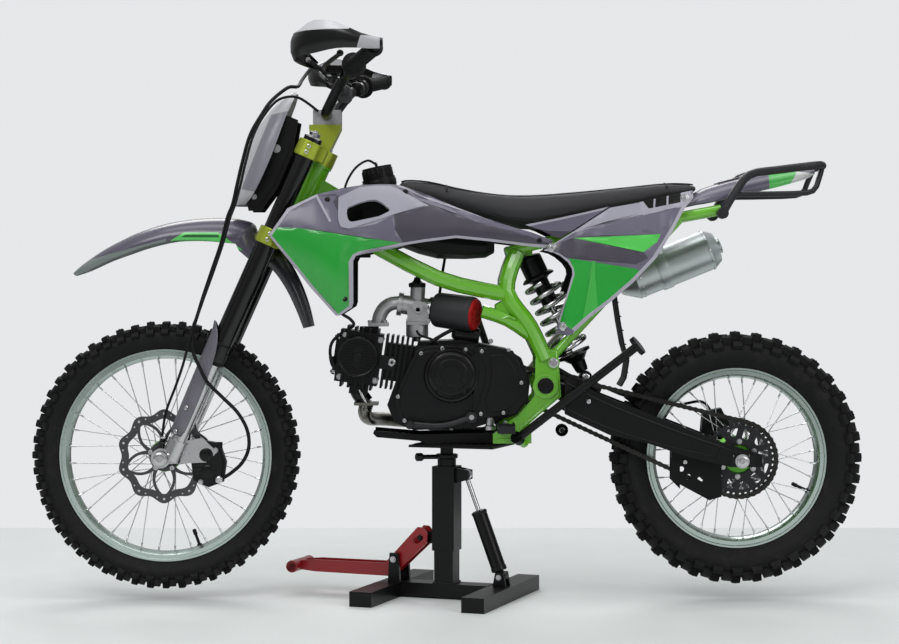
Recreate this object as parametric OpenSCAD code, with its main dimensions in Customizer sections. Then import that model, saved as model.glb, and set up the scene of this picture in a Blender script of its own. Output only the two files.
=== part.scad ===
/* [Wheels] */
// Distance between the two axles
wheelbase = 1230; // [1200:5:1260]
// Outside diameter of the front tyre
front_tyre_d = 580; // [572:1:586]
// Outside diameter of the rear tyre
rear_tyre_d = 545; // [538:1:548]
// Height of the front axle above the floor, on the lift
front_axle_z = 310; // [306:1:320]
// Height of the rear axle above the floor, on the lift
rear_axle_z = 305; // [302:1:312]

/* [Steering] */
// Angle between the steering axis and the vertical, in degrees
rake = 24; // [23.5:0.25:24.5]
// Distance of the fork tubes in front of the steering axis
fork_offset = 27; // [26:0.5:28]
// Half the distance between the fork tubes
fork_half = 85; // [84:0.5:87]
// Half the width across the bar ends
bar_half = 380; // [360:5:390]

/* [Lift stand] */
// Angle by which the lift stand is turned under the bike, in degrees
stand_yaw = -20; // [-25:1:-15]
// Length of each cross bar of the stand's base
stand_foot_l = 380; // [340:10:420]
// Distance between the two cross bars
stand_foot_gap = 250; // [240:5:270]

/* [Hidden] */
$fn = 48;

lime = [0.35, 0.68, 0.06];
green = [0.05, 0.55, 0.12];
grey = [0.33, 0.33, 0.38];
black = [0.04, 0.04, 0.045];
silver = [0.72, 0.73, 0.75];
anodised = [0.72, 0.78, 0.16];
red = [0.55, 0.02, 0.03];

// The origin lies on the floor, half way along the bike and in its middle plane.
overall_l = wheelbase + (front_tyre_d + rear_tyre_d) / 2;
front_axle = [overall_l / 2 - front_tyre_d / 2, 0, front_axle_z];
rear_axle = front_axle - [wheelbase, 0, front_axle_z - rear_axle_z];

// Steering axis: a point on it, its direction downwards and the direction square to it, forwards.
steer_point = [288, 0, 913];
steer_down = [sin(rake), 0, -cos(rake)];
steer_forward = [cos(rake), 0, sin(rake)];
top_clamp_t = -45;
low_clamp_t = 158;
fork_tube_r = 20;
slider_r = 16;
swing_pivot = [-210, 0, 463];
front_sprocket = [-135, 54, 477];
chain_y = 54;
rear_pitch_r = 80.9;
front_pitch_r = 30.3;
skid_z = 338;

function steer_at(t, side = 0, ahead = 0) =
    steer_point + t * steer_down + ahead * steer_forward + [0, side, 0];
function leg_at(t, side = fork_half) = steer_at(t, side, fork_offset);
function mirrored(points) = [for (p = points) [p[0], -p[1], p[2]]];
function reversed(list) = [for (i = [len(list) - 1:-1:0]) list[i]];
function mix(a, b, t) = a * (1 - t) + b * t;

// The direction of a vector, as the rotation that turns +Z onto it.
function turn_to(d) = [0, acos(d[2] / norm(d)), atan2(d[1], d[0])];

module at_axis(point, direction) { translate(point) rotate(turn_to(direction)) children(); }

module rod(a, b, r) { at_axis(a, b - a) cylinder(h = norm(b - a), r = r); }

// A bent tube: straight lengths with a ball at each bend, a little larger than the tube.
module pipe(points, r) {
    for (i = [0:len(points) - 2]) rod(points[i], points[i + 1], r);
    for (i = [1:len(points) - 2]) translate(points[i]) sphere(r + 0.4);
}

module both_sides() {
    children();
    mirror([0, 1, 0]) children();
}

// A plate in the XZ plane, from y0 to y1, with the outline given as [x, z] pairs.
module plate(outline, y0, y1) {
    translate([0, y1, 0]) rotate([90, 0, 0]) linear_extrude(y1 - y0) polygon(outline);
}

// A disc or ring about an axis along Y, from y0 to y1.
module disc(centre, r, y0, y1, bore = 0) {
    translate([centre[0], y1, centre[2]]) rotate([90, 0, 0])
        difference() {
            cylinder(h = y1 - y0, r = r);
            if (bore > 0) translate([0, 0, -1]) cylinder(h = y1 - y0 + 2, r = bore);
        }
}

// A body turned about an axis along Y, from a profile of [radius, y] pairs.
module turned(centre, profile, facets = 96) {
    translate(centre) rotate([90, 0, 0]) rotate_extrude($fn = facets)
        polygon([for (p = profile) [p[0], -p[1]]]);
}

// A closed skin over rings that have the same number of points.
module loft(rings) {
    m = len(rings[0]);
    n = len(rings);
    skin = [for (i = [0:n - 2]) for (j = [0:m - 1])
        for (tri = [[i * m + j, i * m + (j + 1) % m, (i + 1) * m + j],
                    [(i + 1) * m + j, i * m + (j + 1) % m, (i + 1) * m + (j + 1) % m]]) tri];
    low = [for (j = [1:m - 2]) [0, j + 1, j]];
    high = [for (j = [1:m - 2]) [(n - 1) * m, (n - 1) * m + j, (n - 1) * m + j + 1]];
    points = [for (r = rings) each r];
    faces = concat(low, skin, high);
    flip = signed_volume(points, faces) > 0;
    polyhedron(points, flip ? [for (f = faces) reversed(f)] : faces);
}
function signed_volume(points, faces) =
    let (parts = [for (f = faces) points[f[0]] * cross(points[f[1]], points[f[2]])])
    parts * [for (p = parts) 1];

// A smooth tube along a list of points: rings of `sides` points, square to the path.
function tangent(path, i) =
    path[min(i + 1, len(path) - 1)] - path[max(i - 1, 0)];
function unit(v) = v / norm(v);
function tube_ring(centre, dir, r, sides) =
    let (u = unit(cross(unit(dir), abs(unit(dir)[1]) > 0.9 ? [1, 0, 0] : [0, 1, 0])),
         v = cross(unit(dir), u))
    [for (k = [0:sides - 1]) centre + r * (cos(360 * k / sides) * u + sin(360 * k / sides) * v)];
module swept(path, r, sides = 8) {
    loft([for (i = [0:len(path) - 1]) tube_ring(path[i], tangent(path, i), r, sides)]);
}

// A smooth curve through control points, with `steps` points to each stretch.
function spline_point(p, i, t) =
    let (a = p[max(i - 1, 0)], b = p[i], c = p[i + 1], d = p[min(i + 2, len(p) - 1)])
    0.5 * (2 * b + (c - a) * t + (2 * a - 5 * b + 4 * c - d) * t * t
        + (3 * b - a - 3 * c + d) * t * t * t);
function spline(p, steps) = concat(
    [for (i = [0:len(p) - 2]) for (s = [0:steps - 1]) spline_point(p, i, s / steps)],
    [p[len(p) - 1]]);

/* ---------- Wheels ---------- */

// [tyre radius, half width, rim flange radius, rim bed radius, rim inner radius, rim half width]
front_wheel = [front_tyre_d / 2, 37, 229, 218, 208, 22];
rear_wheel = [rear_tyre_d / 2, 47, 194, 183, 172, 27];

module tyre(centre, w) {
    seat_y = w[5] - 4.3;
    side = [[w[3] + 0.2, seat_y], [w[2] + 1, seat_y], [w[2] + 4, w[5] + 2],
            [mix(w[2], w[0], 0.35), w[1] - 2], [mix(w[2], w[0], 0.6), w[1]],
            [w[0] - 14, w[1]], [w[0] - 5, w[1] * 0.72], [w[0], w[1] * 0.3]];
    color(black) turned(centre, concat(side, [for (p = reversed(side)) [p[0], -p[1]]]), 120);
}

module rim_ring(centre, w) {
    side = [[w[3], w[5] - 4], [w[2], w[5] - 4], [w[2], w[5]], [w[3] - 2, w[5]],
            [w[4] + 4, w[5] - 6], [w[4], w[5] * 0.35]];
    turned(centre, concat(side, [for (p = reversed(side)) [p[0], -p[1]]]), 120);
}

// Spokes run from the two hub flanges to the rim, each leaning along the wheel's turning direction.
module spokes(centre, w, flange_r, flange_y, count) {
    for (i = [0:count - 1]) {
        side = i % 2 == 0 ? 1 : -1;
        lean = (floor(i / 2) % 2 == 0 ? 1 : -1) * 48;
        rim_angle = 360 / count * (i + 0.5);
        hub_angle = rim_angle + lean;
        a = centre + [flange_r * cos(hub_angle), side * flange_y, flange_r * sin(hub_angle)];
        b = centre + [(w[4] + 3) * cos(rim_angle), side * 3, (w[4] + 3) * sin(rim_angle)];
        rod(a, b, 1.6, $fn = 16);
    }
}

module hub(centre, flange_r, flange_y, body_r, half, bore) {
    turned(centre, [[bore, -half], [body_r - 4, -half], [body_r - 4, -flange_y - 4],
        [flange_r + 5, -flange_y - 3], [flange_r + 5, -flange_y + 3], [body_r, -flange_y + 9],
        [body_r, flange_y - 9], [flange_r + 5, flange_y - 3], [flange_r + 5, flange_y + 3],
        [body_r - 4, flange_y + 4], [body_r - 4, half], [bore, half]], 72);
}

// A brake disc with a wavy edge, made of lobes on a ring, and spokes to the hub.
module brake_disc(centre, r, lobes, y, thick, bore) {
    wave = r * 0.045;
    outline = [for (a = [0:6:354]) let (q = r - wave + wave * cos(lobes * a))
        [centre[0] + q * cos(a), centre[2] + q * sin(a)]];
    window = r * 0.33;
    difference() {
        plate(outline, y - thick / 2, y + thick / 2);
        disc(centre, bore, y - thick, y + thick);
        for (k = [0:3]) {
            a = 90 * k + 45;
            p = centre + [r * 0.55 * cos(a), 0, r * 0.55 * sin(a)];
            disc(p, window * 0.75, y - thick, y + thick);
        }
    }
}

module front_tyre() { tyre(front_axle, front_wheel); }
module rear_tyre() { tyre(rear_axle, rear_wheel); }
module front_rim() {
    color(silver) union() {
        rim_ring(front_axle, front_wheel);
        spokes(front_axle, front_wheel, 30, 27, 36);
    }
}
module rear_rim() {
    color(silver) union() {
        rim_ring(rear_axle, rear_wheel);
        spokes(rear_axle, rear_wheel, 40, 27, 36);
    }
}
module front_hub() { color(lime) hub(front_axle, 30, 27, 22, 42, 8.6); }
module rear_hub() { color(lime) hub(rear_axle, 40, 27, 28, 52, 8.6); }
module front_disc() { color(silver) brake_disc(front_axle, 101, 10, 44.2, 3.6, 24); }
module rear_disc() { color(silver) brake_disc(rear_axle, 85, 10, -54.2, 3.6, 26); }
module rear_sprocket() {
    color(black) difference() {
        disc(rear_axle, rear_pitch_r - 7.5, chain_y - 4, chain_y + 2);
        disc(rear_axle, 30.2, chain_y - 10, chain_y + 10);
        for (k = [0:7]) {
            a = 45 * k + 22.5;
            disc(rear_axle + [55 * cos(a), 0, 55 * sin(a)], 12, chain_y - 10, chain_y + 10);
        }
    }
    color(black) disc(rear_axle, 44, 31.5, chain_y - 3.5, 30.2);
}

/* ---------- Front end ---------- */

module clamp_plate(t, thick, half_w) {
    // Bridges the two fork tubes and the steering stem, square to the steering axis.
    translate(steer_at(t)) rotate([0, -rake, 0])
        difference() {
            union() {
                translate([fork_offset / 2 - 24, -fork_half, -thick / 2])
                    cube([fork_offset + 22, 2 * fork_half, thick]);
                for (s = [-1, 1]) translate([fork_offset, s * fork_half, -thick / 2])
                    cylinder(h = thick, r = half_w);
                translate([0, 0, -thick / 2 - 2]) cylinder(h = thick + 4, r = 30);
            }
            for (s = [-1, 1]) translate([fork_offset, s * fork_half, -thick])
                cylinder(h = 2 * thick, r = fork_tube_r + 0.1);
        }
}

module triple_clamps() {
    color(anodised) union() {
        clamp_plate(top_clamp_t, 28, 27);
        clamp_plate(low_clamp_t, 30, 27);
        rod(steer_at(top_clamp_t), steer_at(low_clamp_t), 12);
        // Riser block that carries the handlebar clamp.
        hull() {
            translate(steer_at(top_clamp_t - 4, 0, 6)) cube([34, 70, 8], center = true);
            translate([262, 0, 1018]) cube([68, 66, 8], center = true);
        }
    }
    color(silver) union() {
        for (s = [-1, 1]) difference() {
            translate([258, s * 22, 1037]) cube([60, 16, 34], center = true);
            rod([258, s * 22 - 20, 1042], [258, s * 22 + 20, 1042], 11.2);
        }
    }
}

module fork_tubes() {
    color(black) for (s = [-1, 1])
        difference() {
            union() {
                rod(leg_at(top_clamp_t - 26, s * fork_half), leg_at(430, s * fork_half), fork_tube_r);
                rod(leg_at(low_clamp_t + 15.5, s * fork_half), leg_at(430, s * fork_half),
                    fork_tube_r + 2.5);
                rod(leg_at(424, s * fork_half), leg_at(446, s * fork_half), fork_tube_r + 5);
            }
            rod(leg_at(300, s * fork_half), leg_at(450, s * fork_half), slider_r + 0.3);
        }
}

lug_t = 668;
module fork_sliders() {
    for (s = [-1, 1]) {
        color(silver) rod(leg_at(320, s * fork_half), leg_at(lug_t - 36, s * fork_half), slider_r);
        color(black) difference() {
            union() {
                rod(leg_at(lug_t - 36, s * fork_half), leg_at(lug_t + 8, s * fork_half), 22);
                disc(front_axle, 21, s * fork_half - 17, s * fork_half + 17);
                rod(leg_at(lug_t - 14, s * fork_half), [front_axle[0], s * fork_half, front_axle[2]], 15);
                // Caliper arm behind the left leg.
                if (s == 1) plate([[592, 340], [520, 352], [488, 322], [512, 300], [600, 296]], 74, 82);
            }
            disc(front_axle, 8.2, s * fork_half - 30, s * fork_half + 30);
        }
    }
}

guard_t = [372, 630];
module fork_guards() {
    // A half sleeve in front of each slider, with a raised top.
    color(grey) for (s = [-1, 1]) {
        loft([for (k = [0:4]) let (t = mix(guard_t[0], guard_t[1], k / 4),
                r = [30, 29.5, 27, 25, 24][k], span = [38, 75, 100, 110, 110][k],
                c = leg_at(t, s * fork_half) + (k == 0 ? 4 : 0) * steer_forward)
            concat(
                [for (a = [-span:span / 4:span]) c + r * (cos(a) * steer_forward + [0, sin(a), 0])],
                [for (a = [span:-span / 4:-span])
                    c + (r - 3) * (cos(a) * steer_forward + [0, sin(a), 0])])]);
    }
}

// [x, z, half width, drop at the edge] along the middle line of the fender, front to back
fender_line = [
    [808, 703, 10, 6], [786, 722, 34, 16], [742, 752, 46, 24], [701, 774, 54, 30], [659, 793, 60, 34],
    [600, 811, 64, 38], [540, 820, 66, 44], [480, 822, 66, 50], [436, 817, 66, 50], [414, 806, 65, 48],
    [405, 776, 64, 44], [384, 764, 62, 40], [358, 750, 58, 38], [335, 721, 54, 34], [314, 681, 50, 30],
    [297, 635, 44, 26], [286, 589, 38, 20]];
function line_normal(line, i) =
    let (a = line[max(i - 1, 0)], b = line[min(i + 1, len(line) - 1)], d = [b[0] - a[0], b[1] - a[1]])
    [-d[1], d[0]] / norm(d);
module front_fender() {
    color(grey) loft([for (i = [0:len(fender_line) - 1])
        let (p = fender_line[i], n = line_normal(fender_line, i))
        concat(
            [for (k = [-4:4]) let (u = k / 4, drop = p[3] * pow(abs(u), 2.2))
                [p[0] + n[0] * drop, p[2] * sin(90 * u), p[1] + n[1] * drop]],
            [for (k = [4:-1:-4]) let (u = k / 4, drop = 3 + p[3] * pow(abs(u), 2.2))
                [p[0] + n[0] * drop, (p[2] - 2.5) * sin(90 * u), p[1] + n[1] * drop]])]);
}

// [z, x at the middle, half width, sweep back of the edge]
plate_line = [
    [1092, 338, 26, 12], [1074, 362, 48, 30], [1040, 392, 66, 46], [1000, 418, 78, 58],
    [950, 440, 84, 62], [900, 456, 84, 56], [868, 462, 74, 44], [848, 462, 52, 26]];
module number_plate() {
    color(silver) loft([for (p = plate_line) concat(
        [for (k = [-4:4]) let (u = k / 4) [p[1] - p[3] * pow(abs(u), 2.4), p[2] * sin(90 * u), p[0]]],
        [for (k = [4:-1:-4]) let (u = k / 4)
            [p[1] - 3.5 - p[3] * pow(abs(u), 2.4), (p[2] - 2) * sin(90 * u), p[0]]])]);
}

// Bracket between the number plate and the fork tubes.
module plate_bracket() {
    color(black) union() {
        for (s = [-1, 1]) {
            plate([[352, 1044], [318, 1030], [330, 958], [362, 884], [398, 836], [424, 836], [432, 880],
                [384, 985]],
                s * 56 - 3, s * 56 + 3);
        }
        translate([405, 0, 872]) cube([10, 110, 60], center = true);
        rod([405, 0, 880], [450, 0, 880], 7);
    }
}

bar_grip_in = [192, 250, 1128];
bar_end = [143, bar_half, 1152];
bar_points = [[258, 62, 1042], [252, 108, 1050], [218, 178, 1104], bar_grip_in,
    mix(bar_grip_in, bar_end, 0.5), bar_end];
module handlebar() {
    color(black) union() {
        swept(spline(concat(reversed(mirrored(bar_points)), bar_points), 3), 11, 16);
        rod([224, -165, 1091], [224, 165, 1091], 7);
    }
}

function along_bar(q) = mix(bar_grip_in, bar_end, q);
module grips() {
    color(black) both_sides() difference() {
        union() {
            rod(along_bar(0.02), along_bar(0.98), 16);
            rod(along_bar(0.02), along_bar(0.06), 26);
            rod(along_bar(0.94), along_bar(0.98), 18);
        }
        rod(along_bar(-0.3), along_bar(1.4), 11.2);
    }
}

module control_levers() {
    color(black) both_sides() union() {
        difference() {
            union() {
                rod([207, 205, 1116], [199, 228, 1122], 18);
                translate([226, 212, 1122]) cube([46, 24, 24], center = true);
            }
            swept([[232, 150, 1078], [218, 178, 1104], [206, 212, 1120], [190, 254, 1130]], 11.6, 16);
        }
        pipe([[246, 212, 1122], [252, 240, 1124], [236, 300, 1132], [214, 360, 1142]], 6);
        translate([214, 360, 1142]) sphere(7.5);
    }
    // Master cylinder reservoir on the right.
    color(black) translate([240, -190, 1140]) cube([36, 46, 24], center = true);
}

// [y, x at the front, z at the foot, z at the top] of the shell
guard_line = [
    [196, 268, 1122, 1140], [216, 292, 1128, 1164], [250, 307, 1132, 1185], [296, 312, 1135, 1187],
    [340, 298, 1137, 1190], [372, 266, 1140, 1206], [390, 220, 1148, 1200], [394, 170, 1148, 1178],
        [392, 128, 1144, 1168]];
module hand_guards() {
    color(grey) both_sides() union() {
        loft([for (i = [0:len(guard_line) - 1]) let (p = guard_line[i],
                a = guard_line[max(i - 1, 0)], b = guard_line[min(i + 1, len(guard_line) - 1)],
                d = [b[1] - a[1], b[0] - a[0]] / norm([b[1] - a[1], b[0] - a[0]]),
                n = [-d[1], d[0]] * -1)
            concat(
                [for (k = [0:4]) let (u = k / 4, bulge = 7 * sin(180 * u))
                    [p[1] + n[0] * bulge, p[0] + n[1] * bulge, mix(p[2], p[3], u)]],
                [for (k = [4:-1:0]) let (u = k / 4, bulge = 7 * sin(180 * u) - 3.5)
                    [p[1] + n[0] * bulge, p[0] + n[1] * bulge, mix(p[2] + 1, p[3] - 1, u)]])]);
        rod([140, bar_half + 1.5, 1153], [140, bar_half + 12, 1155], 9);
        // Inner arm down to the bar.
        rod([262, 205, 1130], [276, 205, 1136], 6);
    }
}

module front_axle() {
    color(silver) difference() {
        union() {
            disc(front_axle, 8, -fork_half - 26, fork_half + 26);
            for (s = [-1, 1]) disc(front_axle, 15, s * (fork_half + 27.5) - 5, s * (fork_half + 27.5) + 5);
            // Spacers between the hub and the fork lugs.
            for (s = [-1, 1]) disc(front_axle, 12, s * 52.5 - 9.8, s * 52.5 + 9.8);
        }
        disc(front_axle, 4, -200, 200);
    }
}

module front_brake() {
    color(black) difference() {
        union() {
            plate([[530, 348], [548, 322], [540, 262], [508, 246], [476, 258], [470, 300], [484, 340]],
                52, 73.8);
            plate([[518, 330], [526, 300], [520, 270], [492, 268], [484, 300], [492, 332]], 34, 52);
            rod([486, 63, 320], [486, 63, 342], 7);
        }
        disc(front_axle, 104, 40.4, 48);
    }
}

// Brake hose from the right lever to the left caliper, and the speedometer cable to the front hub.
hose_points = [[262, -206, 1147], [276, -190, 1158], [298, -150, 1164], [317, -76, 1130], [323, -10, 1108],
    [342, 36, 1101], [374, 72, 1070], [393, 98, 1038], [416, 112, 994], [432, 117, 936], [443, 119, 888],
    [452, 119, 848], [463, 119, 820], [476, 119, 767], [497, 121, 704], [513, 122, 656], [524, 123, 620],
    [533, 123, 590], [538, 123, 560], [534, 123, 533], [523, 122, 507], [505, 119, 472], [474, 113, 440],
    [443, 108, 408], [423, 104, 371], [420, 98, 333], [434, 92, 301], [460, 86, 277], [484, 78.5, 263]];
speedo_points = [[276, 44, 1050], [318, 60, 1078], [356, 86, 1072], [384, 108, 1040], [408, 120, 994],
    [424, 125, 936], [435, 127, 888], [446, 127, 848], [458, 127, 815], [472, 127, 764], [493, 129, 702],
    [510, 130, 655], [523, 131, 618], [533, 131, 595], [541, 130, 567], [555, 124, 514], [572, 115, 466],
    [595, 100, 409], [606, 76, 358]];
module front_cables() {
    color(black) swept(spline(hose_points, 3), 4);
    color(black) swept(spline(speedo_points, 3), 3);
}

/* ---------- Frame ---------- */

module main_frame() {
    color(lime) union() {
        difference() {
            union() {
                rod(steer_at(-27.5), steer_at(139.5), 27);
                plate([[268, 905], [310, 838], [318, 800], [262, 792], [196, 818], [196, 862]], -16, 16);
                both_sides() {
                    swept(spline([[285, 14, 846], [212, 38, 798], [137, 50, 752], [20, 58, 692],
                        [-70, 60, 668], [-128, 58, 658]], 2), 17, 12);
                    swept(spline([[-150, 44, 748], [-128, 58, 664], [-176, 66, 590], [-210, 70, 518]], 4),
                        18, 12);
                    swept(spline([[-76, 62, 621], [-130, 64, 602], [-184, 66, 566]], 3), 14, 12);
                    // Pivot plate and the lower lug that takes the footpeg and the skid plate.
                    plate([[-190, 540], [-236, 540], [-243, 440], [-200, 404], [-164, 372], [-140, 344],
                           [-100, 344], [-108, 372], [-151, 400], [-186, 440]], 62, 80);
                    // Seat rail and its lower strut.
                    rod([-128, 40, 748], [-232, 62, 774], 11);
                    rod([-224, 62, 772], [-585, 62, 838], 11.5);
                    rod([-232, 70, 532], [-500, 62, 822], 10);
                    disc(swing_pivot, 27, 62, 82);
                    disc([-227, 0, 512], 13, 62, 83);
                    plate([[-180, 380], [-180, 340], [-98, 340], [-98, 360], [-150, 392]], 62, 80);
                    // Clevis for the top of the shock absorber.
                    plate([[-140, 740], [-184, 741], [-184, 760], [-140, 758]], 16, 22);
                }
                // Lug that carries the side stand.
                rod(stand_pivot + 9 * stand_axis, stand_pivot + 30 * stand_axis, 11);
                rod([-144, -46, 748], [-144, 46, 748], 10);
                rod([-98, -62, 613], [-98, 62, 613], 10);
                rod([-208, -70, 535], [-208, 70, 535], 11);
                rod([-352, -66, 661], [-352, 66, 661], 6);
                rod([-120, -66, 356], [-120, 66, 356], 10);
                rod([-400, -62, 805], [-400, 62, 805], 9);
                rod([-580, -66, 837], [-580, 66, 837], 9);
                rod([20, -58, 692], [20, 58, 692], 11);
            }
            rod(steer_at(-60), steer_at(170), 15);
            disc(swing_pivot, 8.2, -120, 120);
        }
    }
}

module swingarm() {
    color(black) difference() {
        union() {
            both_sides() {
                plate([[-250, 484], [-335, 441], [-585, 343], [-668, 318], [-668, 292],
                       [-600, 292], [-509, 314], [-424, 343], [-344, 360], [-262, 398], [-250, 404]],
                           84.5, 106);
            }
            // The crosspiece in front of the wheel and the pivot barrel.
            plate([[-262, 462], [-318, 438], [-322, 396], [-288, 388], [-256, 410]], -85, 54);
            plate([[-262, 462], [-318, 448], [-318, 440], [-262, 430]], 54, 85);
            disc(swing_pivot, 16, -61.5, 61.5);
            plate([[-205, 478], [-275, 457], [-275, 414], [-205, 448]], -50, 50);
            plate([[-262, 452], [-300, 440], [-300, 405], [-262, 410]], -85, 50);
        }
        disc(swing_pivot, 8.2, -120, 120);
        disc(rear_axle, 8.4, -130, 130);
        disc(swing_pivot, 29, 61, 83.5);
        disc(swing_pivot, 29, -83.5, -61);
    }
}

shock_top = [-172, 0, 748];
shock_low = [-300, 0, 478];
module shock_absorber() {
    function on_shock(q) = mix(shock_top, shock_low, q);
    color(black) union() {
        rod(on_shock(0.06), on_shock(0.42), 17);
        rod(on_shock(0.05), on_shock(0.22), 26);
        rod(on_shock(0.4), on_shock(0.97), 7);
        rod(on_shock(0.82), on_shock(0.87), 30);
        disc(shock_low, 13, -16, 16);
        disc(on_shock(0.01), 11, -14, 14);
    }
    // The spring: a helix of round wire between the two collars.
    turns = 6.5;
    per_turn = 14;
    spring_dir = unit(shock_low - shock_top);
    spring_u = [0, 1, 0];
    spring_v = cross(spring_dir, spring_u);
    color(silver) swept([for (i = [0:turns * per_turn]) let (a = 360 * i / per_turn)
        on_shock(mix(0.245, 0.795, i / (turns * per_turn)))
            + 35 * (cos(a) * spring_u + sin(a) * spring_v)], 5.5, 8);
}

/* ---------- Engine ---------- */

crank = [-10, 0, 486];
case_outline = [[62, 556], [-30, 560], [-128, 540], [-160, 520], [-178, 470], [-174, 430], [-148, 398],
    [-60, 372], [70, 366], [112, 382], [128, 420], [110, 470], [76, 500]];
cover_outline = [[66, 548], [-66, 552], [-84, 500], [-60, 440], [-64, 386], [70, 374], [104, 392],
    [112, 440], [72, 490]];
module engine_crankcase() {
    color(black) difference() {
        union() {
            plate(case_outline, -60, 48);
            // Left cover over the alternator.
            plate(cover_outline, 47, 80);
            disc(crank, 50, 77, 92);
            disc(crank, 34, 90, 98);
            // Sprocket cover behind it.
            plate([[-60, 546], [-140, 538], [-168, 490], [-172, 440], [-146, 404], [-56, 392]], 76, 91);
            // Clutch cover on the right.
            disc([-58, 0, 444], 68, -104, -54);
            disc(crank, 46, -92, -52);
            disc([-58, 0, 444], 40, -112, -102);
        }
        rod([-98, -140, 470], [-98, -90, 470], 9);
    }
}

module engine_cylinder() {
    tilt = 8;
    origin = [70, 0, 505];
    color(black) difference() {
        translate(origin) rotate([0, -tilt, 0]) cylinder_body();
        plate(case_outline, -60.3, 48.3);
        plate(cover_outline, 46, 80.3);
        translate([100, -60, 587.8]) cube([100, 120, 30]);
    }
}
// Barrel and head along +X, before they are tilted up.
module cylinder_body() {
    union() {
        // Barrel with square fins.
        translate([-6, -40, -40]) cube([72, 80, 80]);
        for (k = [0:5]) translate([8 + 11 * k, -58, -58]) cube([4.5, 116, 116]);
        // Head with its round cam covers and two port faces.
        translate([74, -52, -56]) cube([92, 104, 112]);
        for (k = [0:4]) translate([84 + 16 * k, -60, -66]) cube([5, 120, 132]);
        translate([132, -30, -44]) cube([42, 60, 88]);
        for (s = [-1, 1]) rod([122, s * 50, 2], [122, s * 72, 2], 42);
        translate([88, -22, 56]) cube([40, 44, 20]);
        translate([92, -22, -80]) cube([40, 44, 26]);
    }
}

module carburettor() {
    color(silver) union() {
        // Manifold from the head up and back to the carburettor.
        translate([148, 0, 592]) cube([44, 56, 8], center = true);
        swept(spline([[148, 0, 594], [145, 0, 610], [134, 2, 628], [116, 6, 638], [94, 8, 638]], 3), 15, 16);
        // Body, float bowl and slide chimney.
        rod([98, 8, 636], [36, 8, 626], 21);
        translate([62, 8, 612]) cube([46, 50, 40], center = true);
        rod([64, 8, 566], [64, 8, 600], 24);
        rod([64, 8, 640], [62, 8, 678], 16);
        rod([62, 30, 632], [62, 44, 632], 12);
    }
}

filter_dir = unit([-95, 42, -12]);
module air_filter() {
    start = [35.5, 8, 626];
    color(black) difference() {
        union() {
            rod(start, start + 16 * filter_dir, 24);
            rod(start + 14 * filter_dir, start + 104 * filter_dir, 37.5);
        }
        // Socket for the carburettor's mouth.
        rod([98, 8, 636], [31, 8, 625.2], 21.1);
        translate([62, 8, 612]) cube([46.4, 50.4, 40.4], center = true);
    }
    color(red) rod(start + 103 * filter_dir, start + 110 * filter_dir, 32);
}

pipe_points = [[172, -2, 424], [178, -14, 402], [170, -46, 386], [140, -84, 382], [60, -118, 376],
    [-60, -138, 388], [-150, -140, 440], [-220, -138, 520], [-280, -134, 590], [-330, -128, 640],
        [-382, -126, 674]];
module exhaust_pipe() {
    color(silver) union() {
        swept(spline(pipe_points, 4), 15, 12);
        translate([174, 0, 421]) cube([54, 62, 6], center = true);
    }
}

muffler_a = [-384, -126, 675];
muffler_dir = unit([-212, 0, 86]);
module muffler() {
    color(silver) difference() {
        union() {
            at_axis(muffler_a, muffler_dir) cylinder(h = 34, r1 = 22, r2 = 44);
            rod(muffler_a + 34 * muffler_dir, muffler_a + 214 * muffler_dir, 45);
            rod(muffler_a + 214 * muffler_dir, muffler_a + 232 * muffler_dir, 34);
            rod(muffler_a + 214 * muffler_dir, muffler_a + 240 * muffler_dir, 17);
            rod(muffler_a + 92 * muffler_dir, muffler_a + 112 * muffler_dir, 47);
            // Bracket up to the seat rail.
            rod([-470, -108, 735], [-467, -76, 803], 7);
        }
        rod(muffler_a + 180 * muffler_dir, muffler_a + 250 * muffler_dir, 14);
    }
}

/* ---------- Tank, seat and bodywork ---------- */

// A closed ring across the bike at x: bottom, side and top, rounded by the exponent of an oval.
function oval_ring(x, low, high, half_low, half_high, sides, square = 0.6) =
    [for (k = [0:sides - 1]) let (a = 360 * (k + 0.5) / sides, c = cos(a), s = sin(a),
            y = sign(c) * pow(abs(c), square), z = sign(s) * pow(abs(s), square),
            half = mix(half_low, half_high, (z + 1) / 2))
        [x, half * y, mix(low, high, (z + 1) / 2)]];

// [x, low, high, half width low, half width high]
tank_line = [
    [236, 812, 858, 34, 28], [222, 790, 878, 50, 42], [180, 776, 896, 60, 56], [116, 763, 894, 66, 60],
    [107, 762, 862, 66, 60], [60, 744, 850, 68, 58], [20, 734, 838, 68, 55], [-40, 733, 820, 66, 52],
    [-84, 736, 808, 62, 48], [-102, 746, 800, 50, 40]];
module fuel_tank() {
    color(black) difference() {
        union() {
            loft([for (p = tank_line) oval_ring(p[0], p[1], p[2], p[3], p[4], 20)]);
            // Filler cap.
            rod([144, 0, 888], [148, 0, 908], 36);
            rod([147, 0, 908], [152, 0, 932], 32);
        }
        // Tunnel over the frame's backbone tubes.
        for (s = [-1, 1]) hull() {
            translate([285, s * 16, 846]) sphere(20, $fn = 16);
            translate([137, s * 50, 752]) sphere(20, $fn = 16);
        }
        plate([[330, 912], [330, 770], [180, 790], [180, 880], [240, 900]], -18.5, 18.5);
    }
}

// [x, low, high, half width low, half width high]
seat_line = [
    [104, 884, 894, 38, 32], [90, 868, 904, 50, 42], [40, 852, 902, 60, 50], [-20, 834, 888, 68, 56],
        [-75, 818, 878, 76, 62],
    [-130, 802, 872, 84, 70], [-190, 796, 872, 92, 78], [-250, 806, 876, 94, 80], [-320, 822, 882, 88, 74],
    [-400, 840, 890, 78, 64], [-470, 858, 897, 66, 52], [-520, 872, 896, 54, 40], [-538, 882, 892, 40, 28]];
module seat() {
    color(black) loft([for (p = seat_line) oval_ring(p[0], p[1], p[2], p[3], p[4], 20, 0.55)]);
}

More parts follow.
